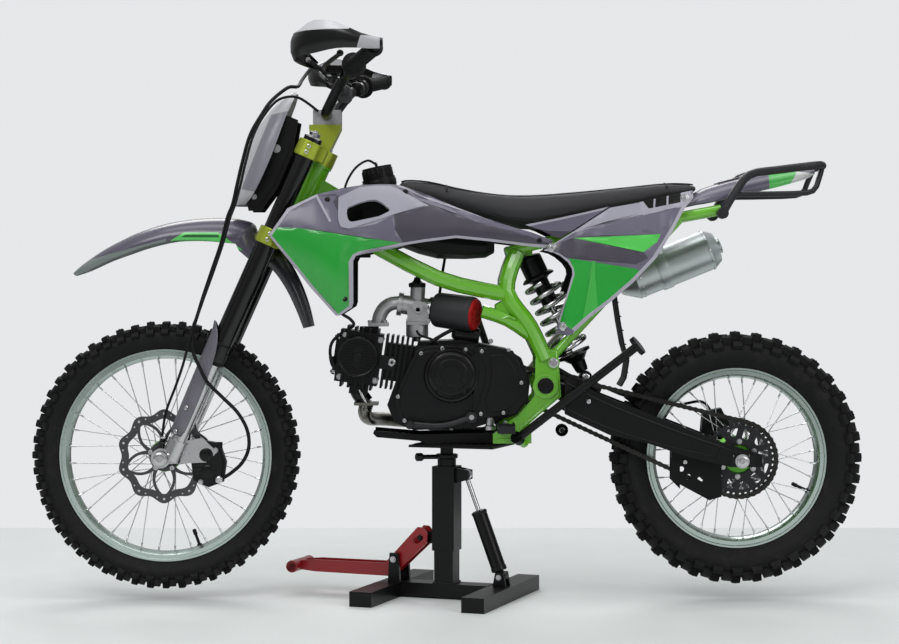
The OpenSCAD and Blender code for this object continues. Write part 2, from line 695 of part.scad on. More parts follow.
// [x, z low, z high, y low, y middle, y high]: the outer face of the left shroud
shroud_line = [
    [374, 776, 784, 133, 134, 133], [336, 732, 838, 132, 138, 128], [300, 688, 860, 130, 144, 122],
    [272, 656, 871, 130, 148, 116], [234, 612, 882, 130, 150, 106], [200, 630, 890, 126, 146, 94],
    [192, 736, 892, 124, 128, 90], [140, 748, 892, 120, 118, 80], [100, 758, 892, 116, 112, 74],
    [40, 770, 866, 110, 104, 74], [-20, 776, 842, 104, 102, 82], [-75, 774, 822, 102, 102, 90],
    [-140, 766, 800, 100, 104, 98], [-196, 758, 790, 98, 102, 102], [-224, 764, 776, 98, 101, 102]];
shroud_window = [[209, 826], [198, 847], [163, 865], [121, 840], [142, 823], [202, 812]];
module tank_shrouds() {
    color(green) both_sides() difference() {
        loft([for (p = shroud_line) concat(
            [for (k = [0:6]) let (u = k / 6,
                    y = mix(mix(p[3], p[4], min(1, u * 2)), p[5], max(0, u * 2 - 1)))
                [p[0], y, mix(p[1], p[2], u)]],
            [for (k = [6:-1:0]) let (u = k / 6,
                    y = mix(mix(p[3], p[4], min(1, u * 2)), p[5], max(0, u * 2 - 1)))
                [p[0], y - 4, mix(p[1], p[2], u)]])]);
        plate(shroud_window, 60, 170);
    }
}

// [x, z low, z high, y low, y high]: the outer face of the left side panel
panel_line = [
    [-204, 750, 753, 105, 105], [-240, 706, 774, 114, 106], [-248, 610, 779, 124, 106],
        [-262, 572, 788, 128, 104],
    [-300, 606, 812, 128, 102], [-345, 640, 842, 126, 97], [-392, 680, 850, 122, 90],
        [-440, 730, 861, 116, 84],
    [-476, 786, 869, 106, 79], [-504, 838, 876, 92, 76], [-524, 862, 880, 80, 75]];
// Height of the right panel's foot, which clears the exhaust: [x, z]
foot_line = [[-204, 750], [-240, 706], [-248, 664], [-262, 652], [-300, 672], [-345, 704], [-392, 742],
    [-440, 764], [-476, 792], [-504, 838], [-524, 862]];
module side_panel(line) {
    loft([for (p = line) let (puff = min(5, (p[2] - p[1]) * 0.08)) concat(
        [for (k = [0:5]) let (u = k / 5)
            [p[0], mix(p[3], p[4], u) + puff * sin(180 * u), mix(p[1], p[2], u)]],
        [for (k = [5:-1:0]) let (u = k / 5)
            [p[0], mix(p[3], p[4], u) + puff * sin(180 * u) - 4, mix(p[1], p[2], u)]])]);
}
module side_panels() {
    color(green) side_panel(panel_line);
    color(green) mirror([0, 1, 0]) side_panel([for (i = [0:len(panel_line) - 1]) let (p = panel_line[i])
        [p[0], foot_line[i][1], p[2], p[3], p[4]]]);
}

// [x, z top, half width, depth of the side]
tail_line = [
    [-240, 790, 48, 3], [-330, 810, 48, 3], [-420, 829, 48, 3], [-500, 856, 54, 12], [-548, 884, 66, 30],
    [-600, 900, 64, 34], [-660, 914, 60, 34], [-720, 924, 54, 30], [-770, 930, 46, 22], [-790, 931, 38, 12]];
module rear_fender() {
    color(grey) loft([for (p = tail_line) concat(
        [for (k = [-4:4]) let (u = k / 4) [p[0], p[2] * sin(90 * u), p[1] - p[3] * pow(abs(u), 3)]],
        [for (k = [4:-1:-4]) let (u = k / 4)
            [p[0], (p[2] - 3) * sin(90 * u), p[1] - 3.5 - p[3] * pow(abs(u), 3)]])]);
}

rail_points = [[-586, 86, 830], [-612, 86, 874], [-644, 82, 912], [-700, 80, 922], [-784, 74, 932],
    [-803, 54, 933], [-806, 20, 933]];
// Thin flap behind the shock absorber, which keeps the mud off it.
flap_line = [[-358.5, 672], [-361, 648], [-368, 600], [-377, 550], [-387, 516], [-381, 478], [-371, 460]];
module mud_flap() {
    color(black) plate(concat(flap_line, [for (p = reversed(flap_line)) p - [4, 0]]), -55, 55);
}

module grab_rail() {
    color(black) union() {
        swept(spline(concat(rail_points, reversed(mirrored(rail_points))), 3), 9, 12);
        both_sides() {
            swept(spline([[-801, 60, 925], [-792, 71, 900], [-780, 74, 878], [-740, 76, 872],
                [-612, 83, 870]], 2), 6, 10);
            disc([-586, 0, 830], 12, 74, 96);
        }
    }
}

module skid_plate() {
    color(black) union() {
        plate([[-150, 340], [40, skid_z], [60, 344], [150, 352], [158, 360], [60, 350], [40, 343],
            [-150, 345]], -61, 61);
        both_sides() plate([[-100, 340], [-100, 362], [60, 358], [156, 366], [156, 358], [60, 344],
            [40, skid_z]], 57, 61);
    }
}

/* ---------- Controls and small parts ---------- */

module footpegs() {
    color(black) both_sides() union() {
        translate([-124, 92, 372]) cube([22, 23, 20], center = true);
        difference() {
            translate([-124, 145, 376]) cube([36, 86, 16], center = true);
            for (k = [0:2]) translate([-124, 121 + 24 * k, 376]) cube([22, 18, 30], center = true);
        }
    }
}

module gear_lever() {
    color(silver) union() {
        rod([-52, 92.5, 398], [-52, 116, 398], 11);
        swept(spline([[-52, 110, 398], [10, 114, 380], [80, 118, 384]], 5), 6, 12);
        rod([78, 112, 384], [78, 146, 384], 8);
    }
}

module brake_pedal() {
    color(silver) union() {
        disc([-96, 0, 358], 12, -98, -80.5);
        swept(spline([[-96, -91, 358], [-52, -122, 354], [-8, -148, 354], [72, -152, 364]], 4), 7, 12);
        translate([74, -154, 368]) cube([26, 34, 12], center = true);
    }
}

module kick_starter() {
    color(silver) union() {
        rod([-98, -152, 470], [-98, -92, 470], 8.5);
        pipe([[-98, -146, 470], [-90, -160, 540], [-66, -160, 610]], 8);
        rod([-66, -168, 610], [-66, -214, 612], 9);
    }
}

// The chain: two straight runs and two arcs round the sprockets.
module chain_arc(centre, r, from, to) {
    translate([centre[0], chain_y, centre[2]]) rotate([90, 0, 0])
        rotate([0, 0, from]) rotate_extrude(angle = to - from, $fn = 96)
            translate([r - 5.5, -5]) square([11, 10]);
}
module drive_chain() {
    span = [front_sprocket[0] - rear_axle[0], front_sprocket[2] - rear_axle[2]];
    length = norm(span);
    slope = atan2(span[1], span[0]);
    swell = asin((rear_pitch_r - front_pitch_r) / length);
    run = sqrt(length * length - pow(rear_pitch_r - front_pitch_r, 2));
    color(black) union() {
        chain_arc(rear_axle, rear_pitch_r, slope + 90 - swell, slope + 270 + swell);
        chain_arc(front_sprocket, front_pitch_r, slope - 90 + swell, slope + 90 - swell);
        for (s = [-1, 1]) {
            a = slope + s * (90 - swell);
            start = [rear_axle[0] + rear_pitch_r * cos(a), chain_y, rear_axle[2] + rear_pitch_r * sin(a)];
            translate(start) rotate([0, -(slope - s * swell), 0]) translate([0, -5, -5.5])
                cube([run, 10, 11]);
        }
    }
    color(silver) disc(front_sprocket, front_pitch_r - 7, chain_y - 5.6, chain_y + 6);
}

module chain_guide() {
    color(black) union() {
        difference() {
            plate([[-478, 322], [-560, 330], [-586, 300], [-586, 226], [-560, 218], [-478, 262]], 66, 70);
            for (p = [[-500, 285], [-515, 268], [-540, 262]]) disc([p[0], 0, p[1]], 6, 60, 90);
        }
        plate([[-478, 322], [-500, 330], [-500, 240], [-478, 262]], 41, 45);
        plate([[-478, 322], [-500, 330], [-500, 312], [-478, 308]], 44, 84);
        // Roller under the lower run, on a pin in the swingarm.
        disc([-246, 0, 367], 12, 46, 62);
        disc([-246, 0, 367], 5, 61, 84.4);
    }
}

module rear_brake() {
    color(black) difference() {
        union() {
            plate([[-560, 400], [-600, 408], [-618, 372], [-590, 346], [-556, 356]], -74, -42);
            plate([[-590, 372], [-636, 330], [-640, 290], [-606, 290], [-556, 356]], -74, -66);
        }
        disc(rear_axle, 90, -59, -50);
        disc(rear_axle, 8.4, -100, 0);
    }
}

module rear_axle() {
    color(silver) difference() {
        union() {
            disc(rear_axle, 8, -122, 122);
            for (s = [-1, 1]) disc(rear_axle, 15, s * 112 - 5.5, s * 112 + 5.5);
            disc(rear_axle, 12, 52.4, 84.2);
            disc(rear_axle, 12, -65.8, -52.4);
            disc(rear_axle, 12, -84.2, -74.3);
        }
        disc(rear_axle, 4, -200, 200);
    }
}

stand_pivot = [-150, 96, 352];
stand_up = unit([-258, 66, 206]);
stand_down = unit([0.16, 0.33, -0.93]);
stand_axis = unit(cross(stand_up, stand_down));
stand_leg_l = 325;
module side_stand() {
    foot = stand_pivot + stand_leg_l * stand_up;
    color(black) union() {
        rod(stand_pivot - 8 * stand_axis, stand_pivot + 8 * stand_axis, 13);
        pipe([stand_pivot, stand_pivot + 60 * stand_up, foot], 9);
        at_axis(foot - 6 * stand_up, stand_up) cylinder(h = 10, r = 21);
    }
}

/* ---------- Lift stand ---------- */

module stand_frame() { rotate([0, 0, stand_yaw]) children(); }

pedal_pivot = [110, 0, 83];
pedal_pin = [54, 0, 130];
damper_low = [-125, 0, 52];
damper_top = [-44, 0, 268];
post_half = 21.5;
sleeve_half = 25;
sleeve_low = 104;
platform_z = 330;

module stand_base() {
    color(black) stand_frame() union() {
        for (s = [-1, 1]) translate([s * stand_foot_gap / 2, 0, 16])
            cube([50, stand_foot_l, 32], center = true);
        translate([0, 0, 18]) cube([stand_foot_gap - 50, 48, 30], center = true);
        translate([-post_half, -post_half, 33]) cube([2 * post_half, 2 * post_half, 150]);
        // Bracket that carries the pedal's pivot.
        for (s = [-1, 1]) plate([[96, 32], [124, 32], [120, 96], [100, 96]], s * 30 - 4, s * 30 + 4);
        disc(pedal_pivot, 6, -38, 38);
        // Lug and pin for the damper's lower eye.
        for (s = [-1, 1]) plate([[-140, 32], [-110, 32], [-116, 62], [-134, 62]], s * 14 - 3, s * 14 + 3);
        disc(damper_low, 5, -20, 20);
    }
}

module stand_mast() {
    color(black) stand_frame() union() {
        difference() {
            translate([-sleeve_half, -sleeve_half, sleeve_low])
                cube([2 * sleeve_half, 2 * sleeve_half, 286 - sleeve_low]);
            translate([-22.5, -22.5, sleeve_low - 5]) cube([45, 45, 270 - sleeve_low]);
        }
        translate([0, 0, 285]) cylinder(h = 16, r = 20);
        translate([0, 0, 300]) cylinder(h = platform_z - 300, r = 14);
        rod([10, 10, 306], [44, 30, 306], 5);
        // Platform with a rubber top.
        translate([-35, 0, platform_z + 2.4]) cube([190, 150, 5], center = true);
        translate([-35, 0, platform_z + 6.3]) cube([170, 136, 3], center = true);
        // Lug and pin that the pedal pulls on.
        plate([[24, 116], [60, 120], [62, 138], [24, 146]], -6, 6);
        disc(pedal_pin, 5, -26, 26);
        // Bracket and pin for the damper's upper eye.
        for (s = [-1, 1]) plate([[-24, 250], [-24, 284], [-54, 278], [-54, 258]], s * 12 - 3, s * 12 + 3);
        disc(damper_top, 4.5, -15, 15);
    }
}

module stand_pedal() {
    color(red) stand_frame() difference() {
        union() {
            for (s = [-1, 1])
                plate([[100, 62], [120, 44], [300, 46], [345, 50], [345, 68], [300, 72], [136, 72],
                       [60, 153], [48, 152], [37, 140], [38, 120]], s * 19 - 2.5, s * 19 + 2.5);
            disc([345, 0, 58], 13, -50, 50);
            plate([[200, 47], [290, 47], [290, 52], [200, 52]], -17, 17);
        }
        disc(pedal_pivot, 6.5, -60, 60);
        // Slot in which the mast's pin slides as the pedal turns.
        disc(pedal_pin, 7, -60, 60);
        disc(pedal_pin + [8.4, 0, -7], 7, -60, 60);
        translate(pedal_pin + [4.2, 0, -3.5]) rotate([0, 39.8, 0]) cube([11, 120, 14], center = true);
    }
}

damper_dir = unit(damper_top - damper_low);
module damper_body() {
    color(black) stand_frame() difference() {
        union() {
            rod(damper_low + 14 * damper_dir, damper_low + 146 * damper_dir, 16);
            disc(damper_low, 12, -9, 9);
            rod(damper_low, damper_low + 16 * damper_dir, 8);
        }
        disc(damper_low, 5.6, -20, 20);
        rod(damper_low + 60 * damper_dir, damper_low + 150 * damper_dir, 5.5);
    }
}

module damper_rod() {
    color(silver) stand_frame() difference() {
        union() {
            rod(damper_low + 90 * damper_dir, damper_top - 8 * damper_dir, 5);
            disc(damper_top, 12, -7, 7);
        }
        disc(damper_top, 6.5, -20, 20);
    }
}

stand_base();
stand_mast();
stand_pedal();
damper_body();
damper_rod();
main_frame();
swingarm();
shock_absorber();
engine_crankcase();
engine_cylinder();
carburettor();
air_filter();
exhaust_pipe();
muffler();
fuel_tank();
seat();
tank_shrouds();
side_panels();
rear_fender();
mud_flap();
grab_rail();
skid_plate();
footpegs();
gear_lever();
brake_pedal();
kick_starter();
drive_chain();
chain_guide();
rear_brake();
rear_axle();
side_stand();
triple_clamps();
fork_tubes();
fork_sliders();
fork_guards();
front_fender();
number_plate();
plate_bracket();
handlebar();
grips();
hand_guards();
control_levers();
front_axle();
front_brake();
front_cables();
front_tyre();
front_rim();
front_hub();
front_disc();
rear_tyre();
rear_rim();
rear_hub();
rear_sprocket();
rear_disc();
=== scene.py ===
import bpy
import bmesh
import math
from mathutils import Matrix, Vector, geometry


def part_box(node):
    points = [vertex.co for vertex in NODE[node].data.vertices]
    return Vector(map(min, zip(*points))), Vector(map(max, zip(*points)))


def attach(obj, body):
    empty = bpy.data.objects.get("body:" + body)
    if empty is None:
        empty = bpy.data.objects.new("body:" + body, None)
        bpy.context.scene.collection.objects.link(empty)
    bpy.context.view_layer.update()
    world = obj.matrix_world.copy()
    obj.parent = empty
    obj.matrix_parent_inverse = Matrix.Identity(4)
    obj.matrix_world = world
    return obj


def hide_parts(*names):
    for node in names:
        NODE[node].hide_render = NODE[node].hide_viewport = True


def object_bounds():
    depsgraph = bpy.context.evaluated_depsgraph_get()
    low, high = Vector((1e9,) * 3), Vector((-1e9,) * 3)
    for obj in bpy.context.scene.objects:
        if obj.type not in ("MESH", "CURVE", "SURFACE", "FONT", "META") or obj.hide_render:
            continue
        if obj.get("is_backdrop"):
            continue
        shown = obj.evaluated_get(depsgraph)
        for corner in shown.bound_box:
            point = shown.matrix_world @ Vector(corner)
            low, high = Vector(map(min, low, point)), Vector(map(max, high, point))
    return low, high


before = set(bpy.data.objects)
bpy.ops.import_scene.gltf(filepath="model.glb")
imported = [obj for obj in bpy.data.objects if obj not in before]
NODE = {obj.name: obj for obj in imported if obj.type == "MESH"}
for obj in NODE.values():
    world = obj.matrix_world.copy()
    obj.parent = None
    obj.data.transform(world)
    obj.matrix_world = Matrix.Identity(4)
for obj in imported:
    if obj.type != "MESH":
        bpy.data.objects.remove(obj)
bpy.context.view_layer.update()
AXIS_Y = Vector((0, 1, 0))
UP = Vector((0, 0, 1))
DOWN = Vector((0, 0, -1))

# ------------------------------------------------------------------ geometry helpers


def V(x, y, z):
    """A point written in millimetres, as metres."""
    return Vector((x / 1000, y / 1000, z / 1000))


def flip(p):
    """The same point on the other side of the bike."""
    return Vector((p[0], -p[1], p[2]))


def spline(points, steps):
    """A smooth curve through the points, with so many steps to each stretch."""
    out = []
    n = len(points)
    for i in range(n - 1):
        a, b = points[max(i - 1, 0)], points[i]
        c, d = points[i + 1], points[min(i + 2, n - 1)]
        for s in range(steps):
            t = s / steps
            out.append(
                0.5
                * (
                    2 * b
                    + (c - a) * t
                    + (2 * a - 5 * b + 4 * c - d) * t * t
                    + (3 * b - a - 3 * c + d) * t * t * t
                )
            )
    out.append(points[-1].copy())
    return out


def round_edges(ob, width, segments=2):
    """Rounds the sharp edges of an object by a width in mm."""
    md = ob.modifiers.new("bevel", "BEVEL")
    md.width = width / 1000
    md.segments = segments
    md.limit_method = "ANGLE"
    md.angle_limit = math.radians(40)
    md.harden_normals = True


def add(name, bm, body, material, smooth=True, bevel=0.0, segments=2, sub=0, crease=35.0):
    """Turns a bmesh into a piece of the model, riding on a body."""
    bmesh.ops.recalc_face_normals(bm, faces=bm.faces)
    me = bpy.data.meshes.new(name)
    bm.to_mesh(me)
    bm.free()
    ob = bpy.data.objects.new(name, me)
    bpy.context.scene.collection.objects.link(ob)
    if not isinstance(material, (list, tuple)):
        material = [material]
    for m in material:
        me.materials.append(m)
    if bevel > 0:
        round_edges(ob, bevel, segments)
    if sub:
        md = ob.modifiers.new("sub", "SUBSURF")
        md.levels = md.render_levels = sub
    if smooth:
        for p in me.polygons:
            p.use_smooth = True
        if not sub:
            me.set_sharp_from_angle(angle=math.radians(crease))
    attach(ob, body)
    return ob


def basis(direction):
    """Two unit vectors square to a direction and to each other."""
    d = direction.normalized()
    side = Vector((0, 1, 0)) if abs(d.y) < 0.9 else Vector((1, 0, 0))
    u = d.cross(side).normalized()
    return u, d.cross(u).normalized()


def circle(centre, r, u, v, sides):
    """The points of a circle of radius r, in metres, in the plane of u and v."""
    turns = [2 * math.pi * k / sides for k in range(sides)]
    return [centre + r * (math.cos(a) * u + math.sin(a) * v) for a in turns]


def ridged(centre, r, amp, u, v, sides, wide):
    """A circle of radius r mm whose points step in and out by amp, so many at a time."""
    around = circle(Vector(), 1.0, u, v, sides)
    return [centre + (r + (amp if (k // wide) % 2 else -amp)) / 1000 * e for k, e in enumerate(around)]


def bm_loft(bm, rings, material=0):
    """Skins a list of closed rings of points and caps both ends. Each ring has the same count."""
    vs = [[bm.verts.new(p) for p in r] for r in rings]
    m = len(rings[0])
    for i in range(len(vs) - 1):
        for j in range(m):
            k = (j + 1) % m
            f = bm.faces.new((vs[i][j], vs[i][k], vs[i + 1][k], vs[i + 1][j]))
            f.material_index = material
    for r in (vs[0], vs[-1]):
        f = bm.faces.new(r)
        f.material_index = material


def bm_tube(bm, path, radius, sides=16):
    """A tube along a path. radius is a number or one for each point, in millimetres."""
    n = len(path)
    rad = radius if isinstance(radius, (list, tuple)) else [radius] * n
    t0 = (path[1] - path[0]).normalized()
    u, v = basis(t0)
    rings = []
    last = t0
    for i in range(n):
        t = (path[min(i + 1, n - 1)] - path[max(i - 1, 0)]).normalized()
        q = last.rotation_difference(t)
        u, v = q @ u, q @ v
        last = t
        r = rad[i] / 1000
        rings.append(circle(path[i], r, u, v, sides))
    bm_loft(bm, rings)


def bm_hose(bm, points, radius, sides, steps):
    """A smooth tube through points of x, y and z in mm, with so many steps to each stretch."""
    bm_tube(bm, spline([V(*p) for p in points], steps), radius, sides)


def bm_turn(bm, a, axis, profile, sides=32, material=0):
    """A body turned about an axis through a. profile holds (distance along, radius) in mm."""
    u, v = basis(axis)
    d = axis.normalized()
    rings = []
    for h, r in profile:
        c = a + d * (h / 1000)
        r = max(r, 0.01) / 1000
        rings.append(circle(c, r, u, v, sides))
    bm_loft(bm, rings, material)


def bm_ring(bm, centre, axis, profile, sides=96):
    """A closed ring about an axis. profile is a closed outline of (along, radius) in mm."""
    u, v = basis(axis)
    d = axis.normalized()
    rings = []
    for k in range(sides):
        a = 2 * math.pi * k / sides
        e = math.cos(a) * u + math.sin(a) * v
        rings.append([bm.verts.new(centre + d * (h / 1000) + e * (r / 1000)) for h, r in profile])
    m = len(profile)
    for i in range(sides):
        a, b = rings[i], rings[(i + 1) % sides]
        for j in range(m):
            k = (j + 1) % m
            bm.faces.new((a[j], a[k], b[k], b[j]))


def bm_box(bm, centre, size, rot=None):
    """A block. centre in metres, size in mm, rot a 3x3 matrix."""
    m = Matrix.Translation(centre)
    if rot is not None:
        m = m @ rot.to_4x4()
    m = m @ Matrix.Diagonal((size[0] / 1000, size[1] / 1000, size[2] / 1000, 1))
    bmesh.ops.create_cube(bm, size=1, matrix=m)


def bm_plate(bm, outline, y0, y1):
    """A flat plate from an outline of (x, z) in mm, from y0 to y1."""
    a = [bm.verts.new(V(x, y0, z)) for x, z in outline]
    b = [bm.verts.new(V(x, y1, z)) for x, z in outline]
    n = len(a)
    bm.faces.new(a)
    bm.faces.new(b[::-1])
    for i in range(n):
        j = (i + 1) % n
        bm.faces.new((a[i], b[i], b[j], a[j]))


def bm_hex(bm, at, axis, across, height):
    """A hexagon bolt head with a washer under it, standing on a surface at a point."""
    bm_turn(bm, at, axis, [(0, across * 0.68), (1.2, across * 0.68)], 20)
    bm_turn(bm, at, axis, [(1.2, across * 0.56), (height * 0.85, across * 0.56), (height, across * 0.5)], 6)


def bm_socket(bm, at, axis, r, height):
    """A round socket-head bolt, with its hollow."""
    head = [(0, r), (height * 0.9, r), (height, r * 0.88), (height, r * 0.5), (height * 0.4, r * 0.45)]
    bm_turn(bm, at, axis, head, 20)


def rounded(outline, r, n=4):
    """Rounds the corners of an outline of (x, z) pairs by r."""
    out = []
    m = len(outline)
    for i in range(m):
        a, b, c = Vector(outline[i - 1]), Vector(outline[i]), Vector(outline[(i + 1) % m])
        p, q = (a - b), (c - b)
        lp, lq = p.length, q.length
        k = min(r, lp * 0.45, lq * 0.45)
        s, e = b + p / lp * k, b + q / lq * k
        for j in range(n + 1):
            t = j / n
            out.append(tuple((1 - t) ** 2 * s + 2 * t * (1 - t) * b + t * t * e))
    return out


# ------------------------------------------------------------------ materials


def material(name):
    """A new material, its node tree and its shader."""
    m = bpy.data.materials.new(name)
    m.use_nodes = True
    nt = m.node_tree
    return m, nt, nt.nodes["Principled BSDF"]


def node(nt, kind, **kw):
    """A new node with its settings."""
    n = nt.nodes.new(kind)
    for k, v in kw.items():
        setattr(n, k, v)
    return n


def noise(nt, scale, detail, rough):
    """Noise that is fixed to the object."""
    tc = node(nt, "ShaderNodeTexCoord")
    nz = node(nt, "ShaderNodeTexNoise")
    nz.inputs["Scale"].default_value = scale
    nz.inputs["Detail"].default_value = detail
    nz.inputs["Roughness"].default_value = rough
    nt.links.new(tc.outputs["Object"], nz.inputs["Vector"])
    return nz


def ramp(nt, source, stops):
    """Colours between two stops, led by a socket."""
    r = node(nt, "ShaderNodeValToRGB")
    e = r.color_ramp.elements
    for stop, (place, colour) in zip(e, stops):
        stop.position, stop.color = place, colour
    nt.links.new(source, r.inputs[0])
    return r


def rgba(c, k=1.0):
    """A colour with its alpha, k times as bright."""
    return (c[0] * k, c[1] * k, c[2] * k, 1)


DUST = (0.34, 0.31, 0.27, 1)
BUMP_DEPTH = 0.0006
EDGE_BLUR = 0.00025


def finish_of(name, base, rough, metal=0.0, coat=0.0, coat_rough=0.1, grain=700.0, bump=0.05,
              vary=0.12, spec=0.5, dust=0.0, rough_var=0.08, patch=9.0):
    """A surface with a fine grain, patches of slightly different shade and gloss, and dust."""
    m, nt, b = material(name)
    big = noise(nt, patch, 5.0, 0.6)
    fine = noise(nt, grain, 3.0, 0.6)
    col = ramp(nt, big.outputs["Fac"], [(0.3, rgba(base, 1 - vary)), (0.7, rgba(base, 1 + vary))])
    src = col.outputs["Color"]
    if dust > 0:
        spots = noise(nt, patch * 3.1, 8.0, 0.7)
        fac = ramp(nt, spots.outputs["Fac"], [(0.52, (0, 0, 0, 1)), (0.8, (dust, dust, dust, 1))])
        mix = node(nt, "ShaderNodeMix", data_type="RGBA")
        nt.links.new(fac.outputs["Color"], mix.inputs["Factor"])
        nt.links.new(src, mix.inputs[6])
        mix.inputs[7].default_value = DUST
        src = mix.outputs[2]
    nt.links.new(src, b.inputs["Base Color"])
    rr = node(nt, "ShaderNodeMapRange")
    rr.inputs["To Min"].default_value = max(rough - rough_var, 0.02)
    rr.inputs["To Max"].default_value = min(rough + rough_var, 1)
    nt.links.new(big.outputs["Fac"], rr.inputs["Value"])
    nt.links.new(rr.outputs[0], b.inputs["Roughness"])
    b.inputs["Metallic"].default_value = metal
    b.inputs["Specular IOR Level"].default_value = spec
    b.inputs["Coat Weight"].default_value = coat
    b.inputs["Coat Roughness"].default_value = coat_rough
    bp = node(nt, "ShaderNodeBump")
    bp.inputs["Strength"].default_value = bump
    bp.inputs["Distance"].default_value = BUMP_DEPTH
    nt.links.new(fine.outputs["Fac"], bp.inputs["Height"])
    nt.links.new(bp.outputs[0], b.inputs["Normal"])
    return m


def paint_by_shape(m, layers):
    """Paints fields on a material. Each layer is (colour, [half planes]) in the XZ plane of the
    object: a half plane is (x, z, nx, nz) and holds where (p - (x, z)) . n > 0, in mm."""
    nt = m.node_tree
    b = nt.nodes["Principled BSDF"]
    link = [l for l in nt.links if l.to_socket == b.inputs["Base Color"]][0]
    src = link.from_socket
    tc = node(nt, "ShaderNodeTexCoord")
    sep = node(nt, "ShaderNodeSeparateXYZ")
    nt.links.new(tc.outputs["Object"], sep.inputs[0])
    for colour, planes in layers:
        total = None
        for x, z, nx, nz in planes:
            k = math.hypot(nx, nz)
            nx, nz = nx / k, nz / k
            a = node(nt, "ShaderNodeMath", operation="MULTIPLY_ADD")
            nt.links.new(sep.outputs["X"], a.inputs[0])
            a.inputs[1].default_value = nx
            a.inputs[2].default_value = -(x * nx + z * nz) / 1000
            c = node(nt, "ShaderNodeMath", operation="MULTIPLY_ADD")
            nt.links.new(sep.outputs["Z"], c.inputs[0])
            c.inputs[1].default_value = nz
            nt.links.new(a.outputs[0], c.inputs[2])
            if total is None:
                total = c
            else:
                mn = node(nt, "ShaderNodeMath", operation="MINIMUM")
                nt.links.new(total.outputs[0], mn.inputs[0])
                nt.links.new(c.outputs[0], mn.inputs[1])
                total = mn
        fac = node(nt, "ShaderNodeMapRange")
        fac.inputs["From Min"].default_value = -EDGE_BLUR
        fac.inputs["From Max"].default_value = EDGE_BLUR
        nt.links.new(total.outputs[0], fac.inputs["Value"])
        mix = node(nt, "ShaderNodeMix", data_type="RGBA")
        nt.links.new(fac.outputs[0], mix.inputs["Factor"])
        nt.links.new(src, mix.inputs[6])
        mix.inputs[7].default_value = rgba(colour)
        src = mix.outputs[2]
    nt.links.new(src, b.inputs["Base Color"])


LIME = (0.115, 0.40, 0.012)
GREEN = (0.010, 0.33, 0.030)
PALE_GREEN = (0.085, 0.52, 0.10)
SLATE = (0.075, 0.068, 0.098)
INK = (0.0032, 0.0032, 0.0036)

M = {}
M["tyre"] = finish_of("tyre_rubber", (0.0052, 0.0052, 0.0056), 0.62, bump=0.25, grain=900, vary=0.25,
                      dust=0.04, spec=0.2)
# Alloy rims: grey metal, with a green tint in the colour that is a painted reflection of a green floor.
M["rim"] = finish_of("rim_alloy_green_reflection", (0.50, 0.58, 0.545), 0.26, metal=1.0, bump=0.04, vary=0.06, grain=500)
M["spoke"] = finish_of("spoke_steel", (0.60, 0.61, 0.61), 0.24, metal=1.0, bump=0.02, vary=0.05)
M["hub"] = finish_of("hub_green", (0.085, 0.34, 0.02), 0.28, metal=0.7, coat=0.4, bump=0.04)
M["disc"] = finish_of("disc_steel", (0.085, 0.085, 0.09), 0.36, metal=0.85, bump=0.12, grain=300, vary=0.12)
M["steel"] = finish_of("plated_steel", (0.56, 0.56, 0.57), 0.26, metal=1.0, bump=0.05, vary=0.08)
M["dark_steel"] = finish_of("dark_steel", (0.028, 0.028, 0.03), 0.38, metal=0.7, bump=0.08, vary=0.15)
M["lime"] = finish_of("lime_paint", LIME, 0.24, coat=0.8, coat_rough=0.08, bump=0.02, grain=260,
                      vary=0.06, rough_var=0.04)
M["green"] = finish_of("green_plastic", GREEN, 0.22, coat=0.5, coat_rough=0.08, bump=0.02, vary=0.05,
                       rough_var=0.04)
M["slate"] = finish_of("slate_plastic", SLATE, 0.34, coat=0.15, bump=0.05, vary=0.06)
M["pale"] = finish_of("pale_plastic", (0.50, 0.50, 0.52), 0.36, bump=0.05, vary=0.04)
M["grey"] = finish_of("grey_plastic", (0.125, 0.12, 0.145), 0.38, bump=0.08, vary=0.16, patch=26.0)
M["black"] = finish_of("black_plastic", INK, 0.42, bump=0.12, vary=0.2, grain=900, spec=0.18)
M["black_paint"] = finish_of("black_paint", INK, 0.32, coat=0.06, bump=0.05, grain=420, vary=0.2, spec=0.2)
M["gloss_black"] = finish_of("gloss_black", INK, 0.16, coat=0.3, coat_rough=0.05, bump=0.02, grain=420,
                             vary=0.2, spec=0.25)
M["black_metal"] = finish_of("black_castings", (0.0045, 0.0045, 0.005), 0.3, coat=0.15, metal=0.1,
                             bump=0.2, grain=620, vary=0.2, dust=0.01, spec=0.2)
M["rubber"] = finish_of("soft_rubber", (0.0045, 0.0045, 0.005), 0.58, bump=0.12, vary=0.2, spec=0.2)
M["clamp"] = finish_of("lime_anodised", (0.36, 0.43, 0.04), 0.3, metal=0.6, bump=0.06, grain=350, vary=0.06)
M["cast"] = finish_of("cast_alloy", (0.40, 0.40, 0.41), 0.42, metal=0.9, bump=0.3, grain=520, vary=0.14)
M["muffler"] = finish_of("muffler_satin", (0.50, 0.54, 0.54), 0.36, metal=0.85, bump=0.1, grain=340,
                         vary=0.07)
M["pipe"] = finish_of("exhaust_steel", (0.22, 0.21, 0.19), 0.34, metal=1.0, bump=0.1, vary=0.25)
M["red"] = finish_of("red_paint", (0.24, 0.004, 0.007), 0.3, coat=0.15, bump=0.03, vary=0.08)
M["filter_red"] = finish_of("filter_red", (0.30, 0.003, 0.006), 0.45, bump=0.1, spec=0.2, vary=0.1)
M["seat"] = finish_of("seat_cover", (0.018, 0.018, 0.020), 0.55, bump=0.4, grain=1100, vary=0.15, spec=0.35)
M["chain"] = finish_of("chain_steel", (0.035, 0.034, 0.032), 0.36, metal=0.9, bump=0.1, vary=0.3)
M["guard"] = finish_of("guard_plastic", INK, 0.26, coat=0.1, bump=0.05, vary=0.15, spec=0.35)
